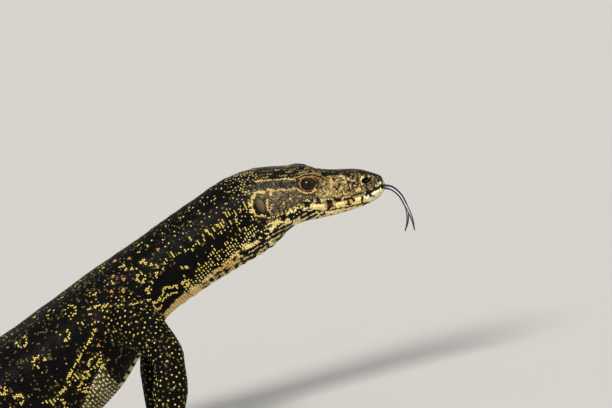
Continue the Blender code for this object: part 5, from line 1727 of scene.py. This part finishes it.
# Painted shade: the skin between the scales is painted darker than they are, partly its own dark colour and
# partly the shade between them, and the scales' own feet are painted darker as shade; both are lighter where
# they are soft
SKIN_SHADE, PLATE_SHADE, BEAD_SHADE = 0.10, 0.6, 0.36
SOFT_SKIN_SHADE, SOFT_SHADE, SOFT_RISE = 0.72, 0.92, 0.6
# Painted shade: the walls of the nostrils, ears and eye sockets are painted near black, as the shade in these
# hollows.
HOLLOW_SHADE = tone(18, 12, 10)  # the walls of the nostrils, ears and eye sockets


def skin_colours(points, markings, colours):
    """Each point of the skin takes the colour of the nearest scale, darker: partly the skin's own darker
    tone, partly painted shade between the scales. Inside the openings it takes a painted shade.
    """
    nearest = np.array([markings.tree.find(p)[1] for p in points])
    shade = SKIN_SHADE + (SOFT_SKIN_SHADE - SKIN_SHADE) * markings.soft[nearest]
    return np.where(in_opening(points)[:, None], HOLLOW_SHADE, colours[nearest] * shade[:, None])


FLOOR_CLEAR = 0.02


def model_offset():
    """From the CAD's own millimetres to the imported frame, from the neck's box."""
    rings = []
    for at in np.linspace(NECK_FROM, CHEST_FROM, 9):
        at = at + GAP / 2 if at == NECK_FROM else at - GAP / 2 if at == CHEST_FROM else at
        centre, right, upward, _, (side, up, down, corner, lean) = body_frame(at)
        across, rise = section_points(28, side, up, down, corner, lean)
        ring = centre + np.outer(across, right) + np.outer(rise, upward)
        if at < RELIEF_TO:
            out = np.outer(across, right) + np.outer(rise, upward)
            length = np.maximum(np.linalg.norm(out, axis=1), 1e-6)[:, None]
            ring = ring + out / length * head_relief(ring[:, 0], ring[:, 1], ring[:, 2] - EYE_HEIGHT)[:, None]
        rings.append(ring)
    low = np.vstack(rings).min(0) * MM
    return np.array(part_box("neck")[0]) - low


OFFSET = model_offset()


def finished(name, points, faces, colours, material, slot, replaced=(), uv=None):
    """A piece of the model from points in millimetres, with its colour at each point."""
    obj = object_from(name, points * MM + OFFSET, faces)
    layer = obj.data.attributes.new("Colour", "FLOAT_COLOR", "POINT")
    opaque = np.hstack([colours, np.ones((len(colours), 1))])
    layer.data.foreach_set("color", opaque.astype(np.float32).ravel())
    if uv is not None:
        unwrap = obj.data.uv_layers.new(name="OFBake")
        unwrap.data.foreach_set("uv", uv[faces.ravel()].astype(np.float32).ravel())
    obj.data.materials.append(material)
    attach(obj, "root")
    if replaced:
        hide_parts(*replaced)
    return obj


# Eyes, eardrums, tongue and claws

PUPIL, IRIS, GOLD, SCLERA = tone(4, 4, 5), tone(20, 13, 9), tone(150, 106, 52), tone(12, 9, 8)
GAZE = (0.02, 0.12)  # how far ahead and up the eyes look
# Degrees from the middle of the pupil to its edge, to the golden ring and to the iris's edge
PUPIL_EDGE, GOLD_RING, IRIS_EDGE = 24.0, 41.0, 42.5
CORNEA_BULGE, CORNEA_WIDE = 0.035, 34.0
DRUM, DRUM_SHADE = tone(104, 92, 62), tone(26, 22, 16)
DRUM_SET_IN, DRUM_SHARE = 0.7, 0.94
# TONGUE_HIGHLIGHT is a painted highlight; the tongue goes from TONGUE_TOP to the darker TONGUE_SIDE as
# painted shade.
TONGUE_TOP, TONGUE_SIDE, TONGUE_HIGHLIGHT = tone(30, 29, 42), tone(9, 8, 15), tone(228, 230, 240)
CLAW_ROOT, CLAW_TIP = tone(58, 48, 38), tone(24, 20, 18)
# Along a claw: share of its length, height over its root, and share of its thickness
CLAW_STEPS = ((-0.16, -0.05, 0.96), (0.0, 0.0, 1.0), (0.35, 0.45, 0.86), (0.72, -0.5, 0.5),
              (1.0, -2.25, 0.06))
CLAW_LEAST_HEIGHT = 0.25


def blend(first, second, share):
    share = np.clip(share, 0, 1)[:, None]
    return first * (1 - share) + second * share


def make_eye(side):
    """Points, triangles and colours of an eyeball, with its pupil at the pole."""
    points, faces = ball_mesh((0, 0, 0), [EYE_RADIUS] * 3, None, 72, 80)
    turn = np.array(eye_turn(side).to_3x3())
    gaze = np.array([GAZE[0], side, GAZE[1]]) @ turn
    off = np.degrees(np.arccos(np.clip(points @ gaze / EYE_RADIUS / np.linalg.norm(gaze), -1, 1)))
    fleck = lattice_noise(points / 0.5, 61)
    colours = blend(PUPIL, IRIS, (off - PUPIL_EDGE) / 1.5)
    colours = blend(colours, GOLD * 0.4, hump(off - PUPIL_EDGE - 1.0, 1.2) * 0.5)
    colours = blend(colours, GOLD, hump(off - GOLD_RING, 1.3) * (0.4 + 0.2 * fleck))
    colours = blend(colours, SCLERA, (off - IRIS_EDGE) / 3.0)
    points = points * (1 + CORNEA_BULGE * hump(off, CORNEA_WIDE))[:, None]
    points = points @ turn.T + eye_place(side)
    return points, faces, colours


def make_eardrum(side):
    """A thin skin across the ear, hollow towards its middle, with painted shade darkening its rim, its lower
    side and its rear.
    """
    radii = (EAR_RADII[0] * DRUM_SHARE, 0.7, EAR_RADII[1] * DRUM_SHARE)
    points, faces = ball_mesh((0, 0, 0), radii, None, 56, 44)
    rim = np.hypot(points[:, 0] / radii[0], points[:, 2] / radii[2])
    # Painted shade: darker towards the rim, towards the bottom and towards the rear, as the ear's hollow is
    # shaded.
    colours = blend(DRUM, DRUM_SHADE, ease(rim, 0.55, 1.0) * 0.9)
    colours = blend(colours, DRUM_SHADE, ease(points[:, 2], 2.5, -4.5) * 0.55)
    colours = blend(colours, DRUM_SHADE, ease(points[:, 0], 1.6, -2.4) * 0.7)
    points[:, 1] -= side * 0.55 * hump(rim, 0.5)
    tilt = np.array(ear_turn().to_3x3())
    return points @ tilt.T + beside_head(*EAR_AT, side, -DRUM_SET_IN), faces, colours


def make_tongue():
    """The tongue up to its fork with its two tines, in one body, painted darker as it turns down and with a
    painted highlight along each side.
    """
    made = []
    for tine, count, sides in ((0, 80, 32), (1, 44, 20), (-1, 44, 20)):
        rows = TINE_ROUTE if tine else TONGUE_ROUTE
        points = []
        for i, (x, z, _, _) in enumerate(rows):
            apart = (i / (len(rows) - 1)) ** 1.5
            out = tine * (TINE_ROOT_OUT + (TINE_SPREAD - TINE_ROOT_OUT) * apart)
            back = LEFT_TINE_BACK * apart if tine > 0 else 0.0
            points.append((x - back, out, EYE_HEIGHT + z))
        points, sizes = route(points, [row[2:] for row in rows], count)
        made.append(tube_mesh(tube_rings(points, sizes, sides, (0.0, 1.0, 0.0))))
    points, faces = combined(made[0], made[1:], "UNION")
    out = vertex_normals(points, faces)
    # Painted shade: lighter on top, darker on the sides and darkest underneath.
    colours = blend(TONGUE_SIDE, TONGUE_TOP, 0.5 + 0.5 * out[:, 2])
    # Painted highlight: a pale line along each side, weaker towards the root and the ends of the tines.
    drop = EYE_HEIGHT - points[:, 2]
    highlight_reach = (0.35 + 0.65 * ease(points[:, 0], 50.0, 54.0)) * (1 - 0.85 * ease(drop, 31.0, 41.0))
    colours = blend(colours, TONGUE_HIGHLIGHT, ease(np.abs(out[:, 1]), 0.955, 0.995) * highlight_reach)
    return points, faces, colours


def make_claw(limb, toe):
    """A curved claw that grows from the end of its toe."""
    stops, _, along = toe_route(limb, toe, GAP)
    base = stops[-1]
    wide, high = CLAW_HALF
    points = [base + along * (CLAW_LENGTH * s) + np.array([0.0, 0.0, h]) for s, h, _ in CLAW_STEPS]
    points, sizes = route(points, [(wide * k, high * k) for _, _, k in CLAW_STEPS], 26)
    rings = tube_rings(points, sizes, 18, np.cross(along, (0.0, 0.0, 1.0)))
    rings[:, :, 2] = np.maximum(rings[:, :, 2], CLAW_LEAST_HEIGHT)
    points, faces = tube_mesh(rings)
    colours = blend(CLAW_ROOT, CLAW_TIP, ease((points - base) @ along, 0.0, CLAW_LENGTH))
    return points, faces, colours


# Materials

HIDE_ROUGHNESS, HIDE_SPECULAR = 0.38, 0.10
COAT_ROUGHNESS = 0.04


def set_inputs(node, values):
    """Sets a node's sockets by name, and gives the node back."""
    for name, value in values.items():
        node.inputs[name].default_value = value
    return node


def coloured_material(name, roughness, specular=0.5, coat=0.0):
    """A material that shows the colours of the mesh's points. Returns it with its nodes."""
    made = bpy.data.materials.new(name)
    made.use_nodes = True
    nodes, links = made.node_tree.nodes, made.node_tree.links
    shader = set_inputs(nodes["Principled BSDF"], {
        "Roughness": roughness, "Specular IOR Level": specular, "Coat Weight": coat,
        "Coat Roughness": COAT_ROUGHNESS})
    colour = nodes.new("ShaderNodeAttribute")
    colour.attribute_name = "Colour"
    links.new(colour.outputs["Color"], shader.inputs["Base Color"])
    return made, nodes, links, shader, colour


def hide_material():
    """Horny scales: satin, with a fine grain and a gloss that varies."""
    made, nodes, links, shader, colour = coloured_material("hide", HIDE_ROUGHNESS, HIDE_SPECULAR)
    place = nodes.new("ShaderNodeTexCoord")
    grain = set_inputs(nodes.new("ShaderNodeTexNoise"), {"Scale": 2600.0, "Detail": 1.0})
    bump = set_inputs(nodes.new("ShaderNodeBump"), {"Strength": 0.25, "Distance": 0.00008})
    cloud = set_inputs(nodes.new("ShaderNodeTexNoise"), {"Scale": 240.0, "Detail": 2.0})
    gloss = set_inputs(nodes.new("ShaderNodeMapRange"),
                       {"To Min": HIDE_ROUGHNESS - 0.10, "To Max": HIDE_ROUGHNESS + 0.14})
    tint = set_inputs(nodes.new("ShaderNodeMapRange"), {"To Min": 0.84, "To Max": 1.10})
    shade = nodes.new("ShaderNodeMix")
    shade.data_type, shade.blend_type = "RGBA", "MULTIPLY"
    set_inputs(shade, {"Factor": 1.0})
    for start, output, end, socket in (
            (place, "Object", grain, "Vector"), (place, "Object", cloud, "Vector"),
            (grain, "Fac", bump, "Height"), (bump, "Normal", shader, "Normal"),
            (cloud, "Fac", gloss, "Value"), (gloss, "Result", shader, "Roughness"),
            (cloud, "Fac", tint, "Value"), (colour, "Color", shade, "A"), (tint, "Result", shade, "B"),
            (shade, "Result", shader, "Base Color")):
        links.new(start.outputs[output], end.inputs[socket])
    return made


# The studio

FLOOR_HALF = 60.0
FLOOR_COLOUR = (0.60, 0.59, 0.575)
SKY_COLOUR, SKY_STRENGTH = (0.96, 0.97, 1.0, 1.0), 0.26
AIM = (-0.05, 0.0, 0.11)
# The lights: name, where each stands from its aim, power, colour, and how wide it is in degrees
LIGHTS = (
    ("key", (-0.8, -1.9, 1.35), 3.2, (1.0, 0.96, 0.88), 16.0),
    ("top", (0.3, -0.4, 2.0), 0.35, (1.0, 0.99, 0.97), 50.0),
    ("fill", (0.8, -2.0, 0.2), 1.6, (1.0, 0.97, 0.90), 110.0),
    ("far side", (-0.3, 2.0, 1.0), 0.5, (1.0, 0.98, 0.95), 50.0),
)


def add_camera():
    data = bpy.data.cameras.new("camera")
    obj = bpy.data.objects.new("camera", data)
    bpy.context.scene.collection.objects.link(obj)
    middle_px = (PHOTO_WIDE / 2 - EYE_PX[0], PHOTO_HIGH / 2 - EYE_PX[1])
    target = EYE_PLACE + (CAMERA_RIGHT * middle_px[0] - CAMERA_UP * middle_px[1]) * PIXEL_MM
    place = (target + CAMERA_BACK * CAMERA_FAR) * MM + OFFSET
    turn = Matrix((CAMERA_RIGHT, CAMERA_UP, CAMERA_BACK)).transposed().to_4x4()
    obj.matrix_world = Matrix.Translation(place) @ turn
    data.angle = 2 * math.atan(PHOTO_WIDE * PIXEL_MM / 2 / CAMERA_FAR)
    data.clip_start, data.clip_end = 0.05, 50.0
    bpy.context.scene.camera = obj


def add_sun(name, place, power, colour, degrees):
    """A wide, soft light that is as strong everywhere on the floor."""
    data = bpy.data.lights.new(name, "SUN")
    data.energy, data.color, data.angle = power, colour, math.radians(degrees)
    obj = bpy.data.objects.new(name, data)
    bpy.context.scene.collection.objects.link(obj)
    obj.location = OFFSET + np.array(AIM) + np.array(place)
    obj.rotation_euler = (-Vector(place)).to_track_quat("-Z", "Y").to_euler()


def add_studio():
    floor_points = np.array([[-1, -1, 0], [1, -1, 0], [1, 1, 0], [-1, 1, 0]], float) * FLOOR_HALF
    floor = object_from("floor", floor_points, np.array([[0, 1, 2], [0, 2, 3]]))
    surface = bpy.data.materials.new("pale floor")
    surface.use_nodes = True
    set_inputs(surface.node_tree.nodes["Principled BSDF"], {
        "Base Color": (*FLOOR_COLOUR, 1.0), "Roughness": 0.9, "Specular IOR Level": 0.1})
    floor.data.materials.append(surface)
    world = bpy.data.worlds.new("studio")
    world.use_nodes = True
    set_inputs(world.node_tree.nodes["Background"], {"Color": SKY_COLOUR, "Strength": SKY_STRENGTH})
    bpy.context.scene.world = world
    bpy.context.scene.view_settings.view_transform = "Standard"
    for light in LIGHTS:
        add_sun(*light)


# A piece holds at most this many plates or beads, so that it stays under 200,000 triangles
MOST_PLATES, MOST_BEADS = 9900, 19500


def scale_regions(part, along, side, tube, names):
    """The scales of each region of the body by name."""
    on_head, on_trunk = np.isin(part, (ON_HEAD, ON_LID)), part == ON_TRUNK
    regions = {"scales_head_right": on_head & (side < 0), "scales_head_left": on_head & (side > 0),
               "scales_neck": on_trunk & (along < CHEST_FROM),
               "scales_chest": on_trunk & (along >= CHEST_FROM) & (along < BELLY_FROM),
               "scales_trunk": on_trunk & (along >= BELLY_FROM), "scales_tail": part == ON_TAIL}
    for limb in LIMBS:
        own = [k for k, name in enumerate(names, 1) if name.startswith(limb)]
        regions[f"scales_{limb}"] = np.isin(tube, own)
    return regions


def flesh_nodes():
    """The nodes that the skin stands for."""
    nodes = ["head", "lower_jaw", "neck", "chest", "belly_and_pelvis", "tail_base", "tail_middle",
             "tail_rear", "tail_tip"]
    for limb in LIMBS:
        nodes += [f"{limb}_{part}" for part in (*LIMB_PARTS[limb_kind(limb)], "foot")]
    return nodes


def add_coat(scales, names, markings, colours, material):
    """The scales of each region, in as few pieces as the most for one piece allows."""
    place, out, rear, pitch, part, along, share, side, tube = scales[:MOVED]
    rise = RISE[part] * np.where(part == ON_TAIL, pitch / TAIL_PITCH, 1.0)
    rise *= 1 - (1 - SOFT_RISE) * markings.soft
    for name, chosen in scale_regions(part, along, side, tube, names).items():
        plates = "head" in name
        most, foot_shade = (MOST_PLATES, PLATE_SHADE) if plates else (MOST_BEADS, BEAD_SHADE)
        pick = np.flatnonzero(chosen)
        pick = pick[np.lexsort((along[pick], tube[pick]))]
        count = math.ceil(len(pick) / most)
        for number, some in enumerate(np.array_split(pick, count), 1):
            points, faces, local = scale_mesh(place[some], out[some], rear[some], pitch[some],
                                              rise[some], plates)
            points[:, 2] = np.maximum(points[:, 2], FLOOR_CLEAR)
            # Painted shade: each scale's foot is painted darker than its top, less so where the scales are
            # soft.
            foot = foot_shade + (SOFT_SHADE - foot_shade) * markings.soft[some]
            shade = np.where(np.arange(len(local)) < len(HEXAGON), foot[:, None], 1.0)
            shaded = np.repeat(colours[some], len(local), 0) * shade.reshape(-1, 1)
            uv = unwrapped(along[some], share[some], side[some], tube[some], local)
            finished(name if count == 1 else f"{name}_{number}", points, faces, shaded, material, "hide",
                     uv=uv)


def add_separate_pieces():
    eye = coloured_material("eye", 0.05, 0.12, 0.16)[0]
    drum = coloured_material("eardrum", 0.45, 0.15)[0]
    tongue = coloured_material("tongue", 0.2, 0.25, 0.1)[0]
    claw = coloured_material("claw", 0.3, 0.5, 0.3)[0]
    for name, side in (("right", -1), ("left", 1)):
        finished(f"eyeball_{name}", *make_eye(side), eye, "eye", [f"eye_{name}"])
        finished(f"drum_{name}", *make_eardrum(side), drum, "eardrum", [f"eardrum_{name}"])
    finished("forked_tongue", *make_tongue(), tongue, "tongue", ["tongue"])
    for limb in LIMBS:
        for number, toe in enumerate(TOES[limb_kind(limb)], 1):
            finished(f"{limb}_horn_{number}", *make_claw(limb, toe), claw, "claw", [f"{limb}_claw_{number}"])


def main():
    hide = hide_material()
    points, faces, tubes = make_skin()
    scales, tree, names = place_scales(points, faces, tubes)
    markings = Hide(scales, tree)
    colours = painted(markings)
    finished("skin", points, faces, skin_colours(points, markings, colours), hide, "hide", flesh_nodes())
    add_coat(scales, names, markings, colours, hide)
    add_separate_pieces()
    add_camera()
    add_studio()


main()
